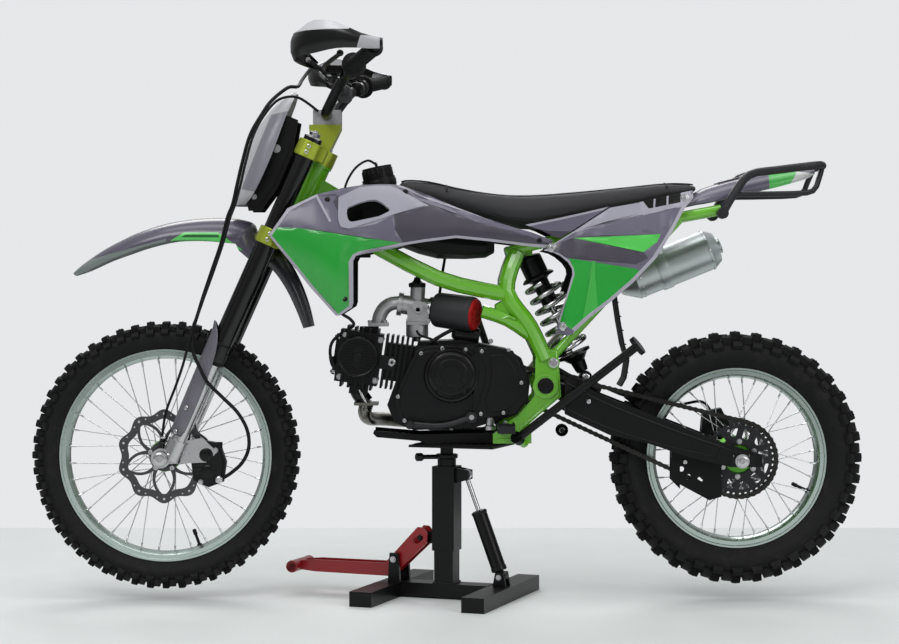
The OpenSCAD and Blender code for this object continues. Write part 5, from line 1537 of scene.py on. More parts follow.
bm_turn(bm, V(64, 8, 672), UP, [(0, 17.5), (3, 18.5), (9, 18.5), (11, 12), (15, 8), (22, 6)], 24)
add("coil_and_cap", bm, "chassis", M["black"], crease=35, bevel=1.0)

# Carburettor: flanges, bowl screws, hose stubs; the filter's foam with its clamp and red end.
bm = bmesh.new()
for x in (101, 34):
    bm_turn(bm, V(x, 8, 636 if x > 50 else 626), Vector((1, 0, 0.15)), [(-5, 25), (5, 25)], 32)
bm_box(bm, V(60, 8, 632), (40, 58, 6))
bm_box(bm, V(62, 8, 602), (50, 54, 5))
bm_turn(bm, V(64, 8, 566), DOWN, [(0, 22), (2, 20), (3, 8), (10, 7), (11, 5)], 28)
for s in (-1, 1):
    bm_turn(bm, V(62, 8 + s * 25, 624), AXIS_Y * s, [(0, 9), (4, 9), (5, 7), (10, 7), (11, 5)], 20)
    for dx in (-18, 18):
        bm_socket(bm, V(62 + dx, 8 + s * 27, 602), AXIS_Y * s, 3, 2)
        bm_socket(bm, V(150 + dx * 0.9, s * 18, 596), UP, 4.5, 5)
bm_turn(bm, V(40, 34, 600), AXIS_Y, [(0, 5), (9, 5), (10, 3.4), (16, 3.4)], 14)
add("carburettor_parts", bm, "chassis", M["cast"], crease=30, bevel=0.5, segments=1)
FILTER_AT = V(35.5, 8, 626)
FILTER_WAY = V(-95, 42, -12).normalized()
fu, fv = basis(FILTER_WAY)
bm = bmesh.new()
rings = []
for h, r in ((13, 30), (14.5, 35), (20, 37.2), (50, 37.8), (96, 37.8), (102, 36.6), (104.5, 33.5)):
    ctr = FILTER_AT + FILTER_WAY * (h / 1000)
    rings.append(ridged(ctr, r, 0.35, fu, fv, 96, 1))
bm_loft(bm, rings)
bm_turn(bm, FILTER_AT, FILTER_WAY, [(0, 24.5), (15, 24.5)], 32)
ob = add("filter_sleeve", bm, "chassis", M["seat"], crease=60)
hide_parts("air_filter")
bm = bmesh.new()
bm_turn(bm, FILTER_AT + FILTER_WAY * 0.104, FILTER_WAY,
        [(-2, 34), (2, 34), (4.4, 32.5), (5.4, 30.5), (5.6, 24), (4.6, 23), (4.6, 14), (5.8, 13),
         (6.2, 5)], 56)
for k in range(8):
    a = math.radians(45 * k)
    e = fu * math.cos(a) + fv * math.sin(a)
    bm_tube(bm, [FILTER_AT + FILTER_WAY * 0.1095 + e * 0.014,
                 FILTER_AT + FILTER_WAY * 0.1095 + e * 0.023], 1.3, 6)
add("filter_end_cap", bm, "chassis", M["filter_red"], crease=30)
bm = bmesh.new()
bm_ring(bm, FILTER_AT + FILTER_WAY * 0.006, FILTER_WAY,
        [(-3.5, 24.4), (3.5, 24.4), (3.5, 25.8), (-3.5, 25.8)], 48)
bm_box(bm, FILTER_AT + FILTER_WAY * 0.006 + fv * 0.027, (9, 12, 7))
add("filter_clamp", bm, "chassis", M["steel"], crease=30)

# ------------------------------------------------------------------ frame, swingarm and shock

bm, bolts = bmesh.new(), bmesh.new()
for s in (1, -1):
    # raised rims and bolts on the pivot plate
    bm_ring(bm, V(-210, s * 81, 463), AXIS_Y * s, [(-2, 21), (1.8, 21), (2.6, 23), (1.8, 27), (-2, 27)], 48)
    bm_ring(bm, V(-227, s * 82, 512), AXIS_Y * s, [(-2, 7), (1.6, 7), (1.6, 12.5), (-2, 12.5)], 32)
    bm_tube(bm, [V(-196, s * 79.5, 536), V(-232, s * 79.5, 536), V(-239, s * 79.5, 442),
                 V(-198, s * 79.5, 408), V(-162, s * 79.5, 376), V(-140, s * 79.5, 350),
                 V(-104, s * 79.5, 350)], 2.2, 8)
    # gussets
    bm_plate(bm, rounded([(284, 850), (300, 806), (262, 812), (226, 812), (236, 838)], 6), s * 15, s * 19)
    bm_plate(bm, rounded([(-104, 634), (-128, 648), (-142, 626), (-132, 614), (-108, 614)], 4), s * 60,
             s * 66)
    bm_turn(bolts, V(-210, s * 82, 463), AXIS_Y * s,
            [(-3, 17), (2, 17), (3.2, 15.5), (3.2, 7), (1.5, 6.4)], 32, 1)
    bm_turn(bolts, V(-227, s * 83, 512), AXIS_Y * s,
            [(0, 10.5), (2, 10.5), (2.6, 8), (4.5, 7.4), (4.5, 4)], 24)
    for x, z, y in ((-98, 613, 62), (-144, 748, 47), (-400, 805, 63), (-580, 837, 67), (20, 692, 60),
                    (-352, 661, 67), (-120, 356, 68)):
        bm_hex(bolts, V(x, s * y, z), AXIS_Y * s, 8.5, 5)
# weld beads where the tubes meet
for path in ([V(-124, 60, 676), V(-140, 70, 668), V(-150, 66, 652)],
             [V(-118, 76, 606), V(-132, 78, 610), V(-146, 78, 604)],
             [V(-118, 52, 640), V(-128, 50, 640), V(-138, 52, 640)]):
    for s in (1, -1):
        bm_tube(bm, spline([Vector((p.x, s * p.y, p.z)) for p in path], 5), 2.4, 8)
bm_ring(bm, FORK_AT + FORK_DOWN * -0.027, FORK_DOWN, [(-2, 20), (4, 20), (4, 29.5), (-2, 29.5)], 48)
bm_ring(bm, FORK_AT + FORK_DOWN * 0.140, FORK_DOWN, [(-4, 20), (2, 20), (2, 29.5), (-4, 29.5)], 48)
add("frame_rims_and_welds", bm, "chassis", M["lime"], crease=40)
add("frame_bolts", bolts, "chassis", [M["steel"], M["black_metal"]], crease=30)
bm = bmesh.new()
bm_turn(bm, FORK_AT + FORK_DOWN * -0.031, FORK_DOWN, [(-2, 26), (0, 27.5), (4, 27.5), (5, 24)], 40)
bm_turn(bm, FORK_AT + FORK_DOWN * 0.139, FORK_DOWN, [(-2, 26), (0, 27.5), (4, 27.5), (5, 24)], 40)
add("head_bearings", bm, "chassis", M["steel"], crease=30)

# Swingarm: pressed ribs, chain adjusters with their marks, axle nuts and the chain slider.
bm, bolts, dark = bmesh.new(), bmesh.new(), bmesh.new()
for s in (1, -1):
    y = s * 106
    bm_hose(bm, [(-254, y, 470), (-335, y, 428), (-470, y, 374), (-590, y, 332), (-640, y, 318)], 2.2, 8, 5)
    bm_hose(bm, [(-256, y, 414), (-350, y, 372), (-470, y, 336), (-560, y, 316)], 1.8, 8, 5)
    bm_plate(bm, rounded([(-580, 336), (-664, 316), (-664, 294), (-600, 294), (-566, 306)], 6), s * 105,
             s * 108)
    bm_plate(dark, rounded([(-600, 317), (-652, 317), (-652, 293), (-600, 293)], 3), s * 107.6, s * 110.5)
    bm_turn(bolts, V(-653, s * 98, 305), Vector((-1, 0, 0)),
            [(0, 5), (10, 5), (10.5, 8), (16, 8), (17, 6)], 6)
    bm_turn(bolts, V(REAR_AXLE_X, s * 117, REAR_AXLE_Z), AXIS_Y * s, [(0, 14.6), (1.2, 14.6)], 28)
    bm_turn(bolts, V(REAR_AXLE_X, s * 118, REAR_AXLE_Z), AXIS_Y * s,
            [(0, 12.5), (3.6, 12.5), (4.4, 10.8), (4.4, 5), (0.5, 4.5)], 6)
    for k in range(4):
        bm_box(bolts, V(-606 - 11 * k, s * 110.6, 316.5), (1.0, 0.6, 4))
for x, z in ((-300, 431), (-270, 447)):
    bm_socket(bolts, V(x, 106, z), AXIS_Y, 4.5, 3)
# chain slider over the arm's root
bm_hose(dark, [(-196, 54, 492), (-226, 54, 500), (-270, 54, 478), (-330, 54, 452)], 6, 10, 5)
add("swingarm_ribs", bm, "chassis", M["black_paint"], crease=40)
add("adjuster_plates", dark, "chassis", M["black_metal"], crease=35, bevel=0.8)
add("adjuster_bolts", bolts, "chassis", M["steel"], crease=30)

# Shock absorber: a real coil, damper, head, threaded collar and eyes.
SHOCK_TOP, SHOCK_LOW = V(-172, 0, 748), V(-300, 0, 478)
shock_way = (SHOCK_LOW - SHOCK_TOP).normalized()
su = AXIS_Y
sv = shock_way.cross(su)


def on_shock(share):
    """A point on the shock's axis, from 0 at its upper eye to 1 at its lower."""
    return SHOCK_TOP + (SHOCK_LOW - SHOCK_TOP) * share


bm = bmesh.new()
turns, per = 6.5, 28
SPRING_TOP, SPRING_LOW, SPRING_R = 0.245, 0.795, 0.035
coil = [on_shock(SPRING_TOP + (SPRING_LOW - SPRING_TOP) * i / (turns * per)) + SPRING_R
        * (math.cos(2 * math.pi * i / per) * su + math.sin(2 * math.pi * i / per) * sv)
        for i in range(int(turns * per) + 1)]
bm_tube(bm, coil, 5.5, 12)
ob = add("shock_spring", bm, "chassis", M["steel"], crease=70)
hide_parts("shock_absorber")
bm, bolts = bmesh.new(), bmesh.new()
bm_turn(bm, on_shock(0.03), shock_way,
        [(0, 14), (4, 24), (6, 26), (44, 26), (46, 31), (50, 36), (54, 36), (56, 24), (60, 18), (118, 18),
         (121, 14)], 40)
for k in range(9):
    bm_ring(bm, on_shock(0.065 + 0.0125 * k), shock_way, [(-0.8, 25.5), (0.8, 25.5), (0, 27.4)], 40)
bm_turn(bm, on_shock(0.80), shock_way, [(0, 30), (1, 36), (7, 36), (9, 28), (22, 16), (40, 14), (46, 12)],
        40)
bm_turn(bm, V(-300, -17, 478), AXIS_Y, [(0, 14), (34, 14)], 28)
bm_turn(bm, V(-172, -15, 748), AXIS_Y, [(0, 13), (30, 13)], 28)
bm_turn(bolts, on_shock(0.40), shock_way, [(0, 7), (112, 7)], 24)
for s in (1, -1):
    bm_turn(bolts, V(-300, s * 17, 478), AXIS_Y * s, [(0, 9), (3, 9), (4, 7), (4, 4)], 6)
    bm_turn(bolts, V(-160, s * 22, 749), AXIS_Y * s, [(0, 9), (5, 9), (6, 7)], 6)
add("shock_body", bm, "chassis", M["black_metal"], crease=30)
add("shock_rod_and_bolts", bolts, "chassis", M["steel"], crease=30)

# ------------------------------------------------------------------ chain and sprockets

CHAIN_Y = 54
DRIVE_X, DRIVE_Z = -135, 477
WHEEL_CHAIN_R, DRIVE_CHAIN_R, CHAIN_PITCH = 80.9, 30.3, 12.7
span = (DRIVE_X - REAR_AXLE_X, DRIVE_Z - REAR_AXLE_Z)
axle_gap = math.hypot(*span)
slope = math.atan2(span[1], span[0])
swell = math.asin((WHEEL_CHAIN_R - DRIVE_CHAIN_R) / axle_gap)


def chain_line():
    """Points every half pitch along the chain's centreline, as (x, z) in mm."""
    pts = []
    a0, a1 = slope + math.pi / 2 - swell, slope + 3 * math.pi / 2 + swell
    for k in range(60):
        a = a0 + (a1 - a0) * k / 60
        pts.append((REAR_AXLE_X + WHEEL_CHAIN_R * math.cos(a), REAR_AXLE_Z + WHEEL_CHAIN_R * math.sin(a)))
    b0, b1 = slope - math.pi / 2 + swell, slope + math.pi / 2 - swell
    for k in range(31):
        a = b0 + (b1 - b0) * k / 30
        pts.append((DRIVE_X + DRIVE_CHAIN_R * math.cos(a), DRIVE_Z + DRIVE_CHAIN_R * math.sin(a)))
    pts.append(pts[0])
    total = sum(math.dist(pts[i], pts[i + 1]) for i in range(len(pts) - 1))
    count = round(total / CHAIN_PITCH)
    count += count % 2
    step = total / count
    out, i, run = [], 0, 0.0
    for k in range(count):
        want = k * step
        while run + math.dist(pts[i], pts[i + 1]) < want:
            run += math.dist(pts[i], pts[i + 1])
            i += 1
        d = math.dist(pts[i], pts[i + 1])
        t = (want - run) / d
        out.append((pts[i][0] + (pts[i + 1][0] - pts[i][0]) * t,
                    pts[i][1] + (pts[i + 1][1] - pts[i][1]) * t))
    return out


links = chain_line()
bm = bmesh.new()
n = len(links)
for i in range(n):
    a, b = Vector(links[i]), Vector(links[(i + 1) % n])
    d = (b - a).normalized()
    e = Vector((-d.y, d.x))
    lay = 4.9 if i % 2 else 3.5
    ring = [a - d * 5.2, a - d * 3.7 + e * 3.7, a + e * 5.2, (a + b) / 2 + e * 3.8, b + e * 5.2,
            b + d * 3.7 + e * 3.7, b + d * 5.2, b + d * 3.7 - e * 3.7, b - e * 5.2, (a + b) / 2 - e * 3.8,
            a - e * 5.2, a - d * 3.7 - e * 3.7]
    for s in (1, -1):
        bm_plate(bm, [tuple(p) for p in ring], CHAIN_Y + s * lay, CHAIN_Y + s * (lay + 1.2))
    bm_turn(bm, V(a.x, CHAIN_Y - 6.8, a.y), AXIS_Y, [(0, 1.9), (13.6, 1.9)], 8)
    bm_turn(bm, V(a.x, CHAIN_Y - 3.4, a.y), AXIS_Y, [(0, 4.1), (6.8, 4.1)], 10)
ob = add("chain_links", bm, "chassis", M["chain"], crease=40)
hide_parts("drive_chain")


def sprocket(bm, cx, cz, teeth, pitch_r, y0, y1, bore, windows):
    """A toothed plate with windows cut in it, as an annulus of outer teeth and inner spokes."""
    outer = []
    for k in range(teeth):
        for f, dr in ((-0.5, -4.4), (-0.34, -3.6), (-0.16, 1.6), (-0.06, 4.0), (0.06, 4.0), (0.16, 1.6),
                      (0.34, -3.6)):
            a = 2 * math.pi * (k + f) / teeth
            outer.append((cx + (pitch_r + dr) * math.cos(a), cz + (pitch_r + dr) * math.sin(a)))
    holes = [[(cx + bore * math.cos(2 * math.pi * k / 36), cz + bore * math.sin(2 * math.pi * k / 36))
              for k in range(36)]] + windows
    pts, edges = [], []
    for loop in [outer] + holes:
        k = len(pts)
        pts += [Vector(p) for p in loop]
        edges += [(k + i, k + (i + 1) % len(loop)) for i in range(len(loop))]
    vs, _, fs, _, _, _ = geometry.delaunay_2d_cdt(pts, edges, [], 0, 0.001)
    made = {}
    for f in fs:
        fx, fz = sum(vs[i][0] for i in f) / len(f), sum(vs[i][1] for i in f) / len(f)
        if not inside(outer, fx, fz) or any(inside(h, fx, fz) for h in holes):
            continue
        for i in f:
            if i not in made:
                made[i] = bm.verts.new(V(vs[i][0], y0, vs[i][1]))
        bm.faces.new([made[i] for i in f])
    new = [f for f in bm.faces if all(v in set(made.values()) for v in f.verts)]
    res = bmesh.ops.extrude_face_region(bm, geom=new)
    bmesh.ops.translate(bm, verts=[g for g in res["geom"] if isinstance(g, bmesh.types.BMVert)],
                        vec=V(0, y1 - y0, 0))


def slot_window(cx, cz, r0, r1, a, w0, w1):
    """A rounded window between radii r0 and r1, centred on angle a, in degrees wide w0 and w1."""
    q = [(r0, a - w0), (r0, a + w0), (r1, a + w1), (r1, a), (r1, a - w1)]
    return rounded([(cx + r * math.cos(math.radians(t)), cz + r * math.sin(math.radians(t)))
                    for r, t in q], 3.5, 3)


bm = bmesh.new()
wins = []
for k in range(6):
    a = 60 * k + 10
    wins.append(slot_window(REAR_AXLE_X, REAR_AXLE_Z, 49, 66, a + 9, 5, 11))
    wins.append(slot_window(REAR_AXLE_X, REAR_AXLE_Z, 45, 66, a + 38, 9, 6))
sprocket(bm, REAR_AXLE_X, REAR_AXLE_Z, 37, 76.5, CHAIN_Y - 3, CHAIN_Y + 2, 31, wins)
ob = add("rear_sprocket_plate", bm, "rear_wheel", M["dark_steel"], crease=25, bevel=0.4, segments=1)
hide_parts("rear_sprocket")
bm = bmesh.new()
bm_ring(bm, V(REAR_AXLE_X, 0, REAR_AXLE_Z), AXIS_Y,
        [(31.5, 30.2), (31.5, 40), (36, 44), (50.5, 44), (50.5, 30.2)], 60)
add("sprocket_carrier", bm, "rear_wheel", M["hub"], crease=30)
bm = bmesh.new()
for k in range(6):
    a = math.radians(60 * k + 10 + 23)
    p = V(REAR_AXLE_X + 37.5 * math.cos(a), CHAIN_Y + 2, REAR_AXLE_Z + 37.5 * math.sin(a))
    bm_hex(bm, p, AXIS_Y, 8.5, 6)
add("sprocket_bolts", bm, "rear_wheel", M["steel"], crease=30)
bm = bmesh.new()
sprocket(bm, DRIVE_X, DRIVE_Z, 14, 26.5, CHAIN_Y - 3, CHAIN_Y + 3, 8, [])
bm_turn(bm, V(DRIVE_X, 44, DRIVE_Z), AXIS_Y, [(0, 10), (18, 10), (19, 8)], 24)
add("front_sprocket_plate", bm, "chassis", M["dark_steel"], crease=25)

# Chain guide's bolts, and the roller with its bolt.
bm, bolts = bmesh.new(), bmesh.new()
bm_ring(bm, V(-246, 46, 367), AXIS_Y,
        [(0, 6), (0, 12), (4, 13.5), (5, 11), (11, 11), (12, 13.5), (16, 12), (16, 6)], 32)
for x, z in ((-490, 316), (-508, 300), (-555, 312)):
    bm_socket(bolts, V(x, 70, z), AXIS_Y, 4.5, 3.5)
bm_hex(bolts, V(-246, 62, 367), AXIS_Y, 9, 6)
add("chain_roller", bm, "chassis", M["rubber"], crease=30)
add("chain_guide_bolts", bolts, "chassis", M["steel"], crease=30)

# ------------------------------------------------------------------ exhaust

PIPE = [(172, -2, 424), (178, -14, 402), (170, -46, 386), (140, -84, 382), (60, -118, 376),
        (-60, -138, 388), (-150, -140, 440), (-220, -138, 520), (-280, -134, 590), (-330, -128, 640),
        (-382, -126, 674)]
bm = bmesh.new()
line = spline([V(*p) for p in PIPE], 8)
bm_tube(bm, line, 14.8, 28)
bm_box(bm, V(174, 0, 421), (52, 60, 6))
for s in (-1, 1):
    bm_turn(bm, V(174, s * 22, 424), DOWN, [(0, 5), (12, 5), (13, 7.5), (18, 7.5), (19, 6)], 6)
bm_turn(bm, line[40], (line[41] - line[39]), [(-8, 15), (-7, 17.5), (7, 17.5), (8, 15)], 32)
bm_turn(bm, line[-5], (line[-4] - line[-6]), [(-9, 15), (-8, 18), (8, 18), (9, 15)], 32)
ob = add("exhaust_header", bm, "chassis", M["pipe"], crease=40)
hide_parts("exhaust_pipe")
# neck between the head's port and the flange, with its studs
bm, bolts = bmesh.new(), bmesh.new()
bm_hose(bm, [(194, 0, 454), (190, 0, 443), (181, 0, 431), (175, 0, 423)], 17.5, 28, 4)
for s in (-1, 1):
    bm_tube(bolts, [V(188, s * 23, 452), V(174, s * 22, 423)], 3.4, 12)
add("exhaust_port_neck", bm, "chassis", M["black_metal"], crease=50)
add("exhaust_studs", bolts, "chassis", M["steel"], crease=40)
MUFFLER_AT, MUFFLER_WAY = V(-384, -126, 675), V(-212, 0, 86).normalized()
bm = bmesh.new()
bm_turn(bm, MUFFLER_AT, MUFFLER_WAY,
        [(0, 21), (4, 24), (34, 43.5), (36, 45), (38, 45), (38.5, 44.2), (88, 44.2), (88.5, 45),
         (206, 45), (206.5, 44), (209, 44), (209.5, 45.2), (214, 45.2), (216, 43), (232, 34), (233, 32),
         (231, 20), (231, 15)], 72)
bm_turn(bm, MUFFLER_AT + MUFFLER_WAY * 0.214, MUFFLER_WAY,
        [(0, 17.5), (25, 17.5), (27, 18.2), (28, 17), (28, 14.2), (4, 14)], 40)
ob = add("muffler_can", bm, "chassis", M["muffler"], crease=30)
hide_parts("muffler")
bm, bolts = bmesh.new(), bmesh.new()
bm_ring(bm, MUFFLER_AT + MUFFLER_WAY * 0.102, MUFFLER_WAY,
        [(-11, 45.2), (11, 45.2), (11, 47), (9, 47.4), (-9, 47.4), (-11, 47)], 72)
bm_hose(bm, [(-470, -100, 728), (-472, -96, 752), (-470, -84, 782), (-467, -76, 803)], 7, 14, 5)
mu, mv = basis(MUFFLER_WAY)
for k in range(24):
    a = 2 * math.pi * k / 24
    e = mu * math.cos(a) + mv * math.sin(a)
    if k % 2 == 0:
        bm_turn(bolts, MUFFLER_AT + MUFFLER_WAY * 0.2115 + e * 0.045, e, [(0, 2.4), (1, 2.2), (1.4, 1)], 10)
        bm_turn(bolts, MUFFLER_AT + MUFFLER_WAY * 0.046 + e * 0.044, e, [(0, 2.4), (1, 2.2), (1.4, 1)], 10)
bm_hex(bolts, V(-467, -70, 803), AXIS_Y, 9, 6)
add("muffler_strap", bm, "chassis", M["muffler"], crease=35)
add("muffler_rivets", bolts, "chassis", M["steel"], crease=30)

# ------------------------------------------------------------------ small fittings

bm, bolts = bmesh.new(), bmesh.new()
for s in (1, -1):
    # footpeg teeth
    for k in range(9):
        for dx in (-16.2, 16.2):
            bm_box(bm, V(-124 + dx, s * (107 + 9.6 * k), 385.2), (3.4, 4.6, 4.4))
    bm_hex(bolts, V(-124, s * 92, 384), UP, 9, 5)
# kick starter pad, gear and brake pedal treads
for k in range(5):
    bm_ring(bm, V(-66, -174 - 8 * k, 610), -AXIS_Y, [(0, 8.8), (0, 10.4), (3.4, 10.4), (3.4, 8.8)], 20)
    bm_ring(bm, V(78, 116 + 6.4 * k, 384), AXIS_Y, [(0, 7.8), (0, 9.2), (3.2, 9.2), (3.2, 7.8)], 20)
for i in range(3):
    for j in range(4):
        bm_box(bm, V(65 + 9 * i, -166 + 8 * j, 375), (5, 4, 3))
add("pedal_treads", bm, "chassis", M["rubber"], crease=30)
bm_hex(bolts, V(-52, 117, 398), AXIS_Y, 8, 4)
bm_hex(bolts, V(-98, -151, 470), -AXIS_Y, 10, 5)
bm_hex(bolts, V(-96, -98, 358), -AXIS_Y, 10, 5)
for x, y in ((20, 40), (20, -40), (-110, 40), (-110, -40)):
    bm_hex(bolts, V(x, y, 342.5 if x < 0 else 339.5), UP, 9, 5)
add("fitting_bolts", bolts, "chassis", M["steel"], crease=30)
# skid plate stiffening ribs and mud flap ribs
bm = bmesh.new()
for y in (-36, -12, 12, 36):
    bm_tube(bm, [V(-130, y, 345), V(34, y, 342.5)], 1.8, 8)
for k in range(6):
    z = 640 - 30 * k
    x = -361 - (650 - z) * 0.18 if z > 520 else -386 + (520 - z) * 0.1
    bm_tube(bm, [V(x - 4.6, -48, z), V(x - 4.6, 48, z)], 1.4, 8)
add("plate_ribs", bm, "chassis", M["black"], crease=50)

# Rear brake: caliper body, pins, hose and master cylinder.
bm, bolts = bmesh.new(), bmesh.new()
bm_plate(bm, rounded([(-564, 396), (-598, 403), (-612, 374), (-590, 352), (-562, 360)], 6), -80, -72)
bm_turn(bm, V(-584, -80, 378), -AXIS_Y, [(0, 15), (5, 15), (7, 12)], 28)
for x, z in ((-570, 386), (-600, 384), (-612, 340)):
    bm_hex(bolts, V(x, -74, z), -AXIS_Y, 8, 10)
add("rear_caliper", bm, "chassis", M["black_metal"], crease=30, bevel=1.2)
add("rear_caliper_pins", bolts, "chassis", M["steel"], crease=30)
bm = bmesh.new()
bm_hose(bm, [(-580, -76, 402), (-560, -92, 420), (-500, -108, 412), (-400, -110, 430), (-300, -110, 470),
             (-200, -100, 486), (-150, -96, 460), (-120, -94, 400), (-110, -92, 376)], 3.2, 10, 6)
for q in (V(-450, -109, 419), V(-330, -110, 458)):
    bm_turn(bm, q, Vector((1, 0, 0.3)), [(-4, 5), (4, 5)], 12)
add("rear_brake_hose", bm, "chassis", M["rubber"], crease=60)
bm = bmesh.new()
bm_turn(bm, V(-128, -92, 400), UP, [(0, 10), (40, 10), (42, 13), (62, 13), (64, 10)], 24)
add("rear_master_cylinder", bm, "chassis", M["black"], crease=30)

# Front caliper: body with fins, pistons, slide pins and banjo bolt. Axle nuts and speedometer drive.
bm, bolts = bmesh.new(), bmesh.new()
bm_plate(bm, rounded([(528, 340), (543, 320), (536, 268), (508, 252), (482, 262), (476, 300), (488, 334)],
                     8), 73, 80)
for z, x in ((316, 512), (280, 508)):
    bm_turn(bm, V(x, 79, z), AXIS_Y, [(0, 15), (3.5, 15), (5, 12), (5.2, 5)], 32)
for k in range(4):
    bm_box(bm, V(532 - 2 * k, 77, 300 - 8 * k), (22, 9, 3))
bm_plate(bm, rounded([(606, 330), (584, 326), (540, 336), (528, 322), (544, 300), (584, 292), (606, 292)],
                     6), 70, 76)
for x, z, y in ((548, 318, 76), (570, 300, 76), (492, 326, 80), (484, 266, 80), (524, 258, 80)):
    bm_hex(bolts, V(x, y, z), AXIS_Y, 8, 6)
bm_turn(bolts, V(484, 72, 263), AXIS_Y, [(0, 6.5), (12, 6.5), (13, 8), (18, 8), (19, 6)], 6)
for s in (1, -1):
    bm_turn(bolts, V(FRONT_AXLE_X, s * 117, FRONT_AXLE_Z), AXIS_Y * s,
            [(0, 14), (1.2, 14), (1.6, 12.6), (5, 12.6), (6, 10.5), (6, 6), (2, 5.5)], 32)
add("front_caliper", bm, "steering", M["black_metal"], crease=30, bevel=1.0)
add("front_caliper_pins", bolts, "steering", M["steel"], crease=30)
bm = bmesh.new()
bm_ring(bm, V(FRONT_AXLE_X, 54, FRONT_AXLE_Z), AXIS_Y, [(-4, 24), (6, 24), (8, 22), (8, 14), (-4, 14)], 48)
bm_turn(bm, V(FRONT_AXLE_X, 60, 334), Vector((0, 0.3, 1)), [(-6, 10), (8, 10), (10, 7), (18, 6)], 20)
add("speedo_drive", bm, "steering", M["black_metal"], crease=30)

# ------------------------------------------------------------------ lift stand details

YAW = math.radians(-20)


def on_stand(x, y, z):
    """A point in the lift stand's own frame, in mm."""
    return V(x * math.cos(YAW) - y * math.sin(YAW), x * math.sin(YAW) + y * math.cos(YAW), z)


def stand_way(x, y, z):
    """A direction in the lift stand's own frame."""
    return Vector((x * math.cos(YAW) - y * math.sin(YAW), x * math.sin(YAW) + y * math.cos(YAW), z))


bolts = bmesh.new()
for s in (1, -1):
    bm_hex(bolts, on_stand(110, s * 38, 83), stand_way(0, s, 0), 10, 6)
    bm_hex(bolts, on_stand(-125, s * 20, 52), stand_way(0, s, 0), 9, 5)
bm = bmesh.new()
# weld beads round the post's foot
POST_FOOT = [(22.5, 22.5), (-22.5, 22.5), (-22.5, -22.5), (22.5, -22.5)]
for k in range(4):
    a, b = POST_FOOT[k], POST_FOOT[(k + 1) % 4]
    bm_tube(bm, [on_stand(a[0], a[1], 34.5), on_stand(b[0], b[1], 34.5)], 2.4, 8)
add("stand_welds", bm, "lift_stand", M["black_paint"], crease=50)
add("stand_bolts", bolts, "lift_stand", M["steel"], crease=30)
bm = bmesh.new()
for k in range(10):
    bm_box(bm, on_stand(-112 + 17 * k, 0, 338.4), (4, 128, 1.4), Matrix.Rotation(YAW, 3, "Z"))
add("platform_ribs", bm, "chassis", M["rubber"], crease=30)
bm = bmesh.new()
bm_turn(bm, on_stand(0, 0, 302), UP, [(0, 22), (2, 24), (8, 24), (10, 22)], 32)
bm_turn(bm, on_stand(44, 30, 306), stand_way(0.75, 0.66, 0), [(0, 7), (3, 9), (14, 9), (16, 7)], 16)
add("mast_collar", bm, "chassis", M["black_metal"], crease=30)
bm = bmesh.new()
bm_turn(bm, on_stand(345, -50, 58), stand_way(0, 1, 0),
        [(0, 11), (1, 13.4), (8, 13.4), (9, 12.2), (91, 12.2), (92, 13.4), (99, 13.4), (100, 11)], 24)
add("pedal_sleeve", bm, "stand_pedal", M["red"], crease=30)
bm = bmesh.new()
DAMPER_LOW, DAMPER_TOP = (-125, 52), (-44, 268)
run, climb = DAMPER_TOP[0] - DAMPER_LOW[0], DAMPER_TOP[1] - DAMPER_LOW[1]
reach = math.hypot(run, climb)
damper_low = on_stand(DAMPER_LOW[0], 0, DAMPER_LOW[1])
damper_way = stand_way(run / reach, 0, climb / reach)
bm_turn(bm, damper_low + damper_way * 0.140, damper_way,
        [(0, 16), (2, 17), (7, 17), (9, 13), (10, 8), (10, 5.6)], 32)
bm_turn(bm, damper_low + damper_way * 0.012, damper_way, [(0, 14), (2, 17), (10, 17), (11, 16.2)], 32)
add("damper_caps", bm, "damper_body", M["black_metal"], crease=30)

# ------------------------------------------------------------------ room, lamps and camera

cam_data = bpy.data.cameras.new("camera")
cam_data.lens = 86.0
cam_data.sensor_width = 36.0
cam_data.shift_x = 0.0095
cam_data.shift_y = -0.0467
cam_data.clip_end = 60
cam = bpy.data.objects.new("camera", cam_data)
cam.location = V(12.6, 4650, 688)
cam.rotation_euler = (math.radians(90), 0, math.radians(180))
bpy.context.scene.collection.objects.link(cam)
bpy.context.scene.camera = cam

# what the camera sees far out on the floor, and in place of the studio's light behind it
PALE_TONE = (0.62, 0.64, 0.64, 1)
BACKDROP = 0.82
floor_mat = finish_of("floor_pale", (0.70, 0.73, 0.72), 0.5, bump=0.02, vary=0.015)


def fade_to_pale(m, near, far):
    """Far from the object the floor shows one pale tone, to the camera alone."""
    nt = m.node_tree
    out = nt.nodes["Material Output"]
    shaded = out.inputs["Surface"].links[0].from_socket
    place = node(nt, "ShaderNodeNewGeometry")
    reach = node(nt, "ShaderNodeVectorMath", operation="LENGTH")
    nt.links.new(place.outputs["Position"], reach.inputs[0])
    fade = node(nt, "ShaderNodeMapRange")
    nt.links.new(reach.outputs["Value"], fade.inputs["Value"])
    fade.inputs["From Min"].default_value = near
    fade.inputs["From Max"].default_value = far
    ray = node(nt, "ShaderNodeLightPath")
    amount = node(nt, "ShaderNodeMath", operation="MULTIPLY")
    nt.links.new(fade.outputs["Result"], amount.inputs[0])
    nt.links.new(ray.outputs["Is Camera Ray"], amount.inputs[1])
    pale = node(nt, "ShaderNodeEmission")
    pale.inputs["Color"].default_value = PALE_TONE
    mix = node(nt, "ShaderNodeMixShader")
    nt.links.new(amount.outputs[0], mix.inputs[0])
    nt.links.new(shaded, mix.inputs[1])
    nt.links.new(pale.outputs[0], mix.inputs[2])
    nt.links.new(mix.outputs[0], out.inputs["Surface"])


fade_to_pale(floor_mat, 2.4, 4.6)


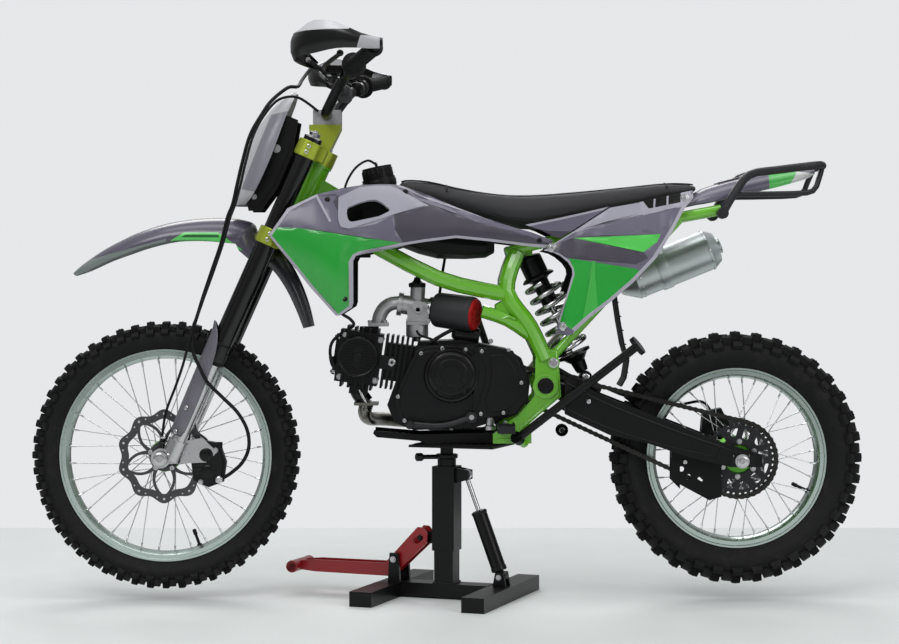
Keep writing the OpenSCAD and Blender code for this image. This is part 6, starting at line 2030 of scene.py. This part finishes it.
def sheet_of(name, corners, m):
    """A flat stage piece."""
    me = bpy.data.meshes.new(name)
    me.from_pydata(corners, [], [tuple(range(len(corners)))])
    me.materials.append(m)
    ob = bpy.data.objects.new(name, me)
    bpy.context.scene.collection.objects.link(ob)
    ob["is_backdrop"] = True


sheet_of("floor", [(-16, -1.31, 0), (16, -1.31, 0), (16, 16, 0), (-16, 16, 0)], floor_mat)

world = bpy.data.worlds.new("studio")
bpy.context.scene.world = world
world.use_nodes = True
wn = world.node_tree
bgd = wn.nodes["Background"]
lp = node(wn, "ShaderNodeLightPath")
seen = node(wn, "ShaderNodeMath", operation="MAXIMUM")
wn.links.new(lp.outputs["Is Camera Ray"], seen.inputs[0])
wn.links.new(lp.outputs["Is Transmission Ray"], seen.inputs[1])
# The studio is bright overhead and dim at the sides, so that dark paint keeps its depth.
ways = node(wn, "ShaderNodeTexCoord")
parts = node(wn, "ShaderNodeSeparateXYZ")
wn.links.new(ways.outputs["Generated"], parts.inputs[0])
sky = node(wn, "ShaderNodeMapRange")
wn.links.new(parts.outputs["Z"], sky.inputs["Value"])
for label, value in (("From Min", -0.1), ("From Max", 0.8), ("To Min", 0.15), ("To Max", 0.64)):
    sky.inputs[label].default_value = value
level = node(wn, "ShaderNodeMix", data_type="FLOAT")
wn.links.new(seen.outputs[0], level.inputs["Factor"])
wn.links.new(sky.outputs["Result"], level.inputs["A"])
level.inputs["B"].default_value = BACKDROP
bgd.inputs["Color"].default_value = (0.97, 0.98, 1.0, 1)
wn.links.new(level.outputs["Result"], bgd.inputs["Strength"])


def lamp(name, at, size, power):
    """A soft white area lamp that faces the middle of the bike."""
    d = bpy.data.lights.new(name, "AREA")
    d.shape = "RECTANGLE"
    d.size, d.size_y = size
    d.energy = power
    ob = bpy.data.objects.new(name, d)
    ob.location = at
    ob.rotation_euler = (Vector((0, 0, 0.55)) - Vector(at)).to_track_quat("-Z", "Y").to_euler()
    bpy.context.scene.collection.objects.link(ob)


lamp("key", (1.6, 3.2, 3.4), (2.4, 1.6), 70)
lamp("fill", (-2.6, 2.6, 2.0), (2.0, 2.0), 32)
lamp("back", (0.3, -3.0, 3.0), (3.0, 1.4), 48)
lamp("top", (0.0, 0.4, 3.6), (3.6, 1.2), 34)

bpy.context.scene.view_settings.view_transform = "Standard"

lo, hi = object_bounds()
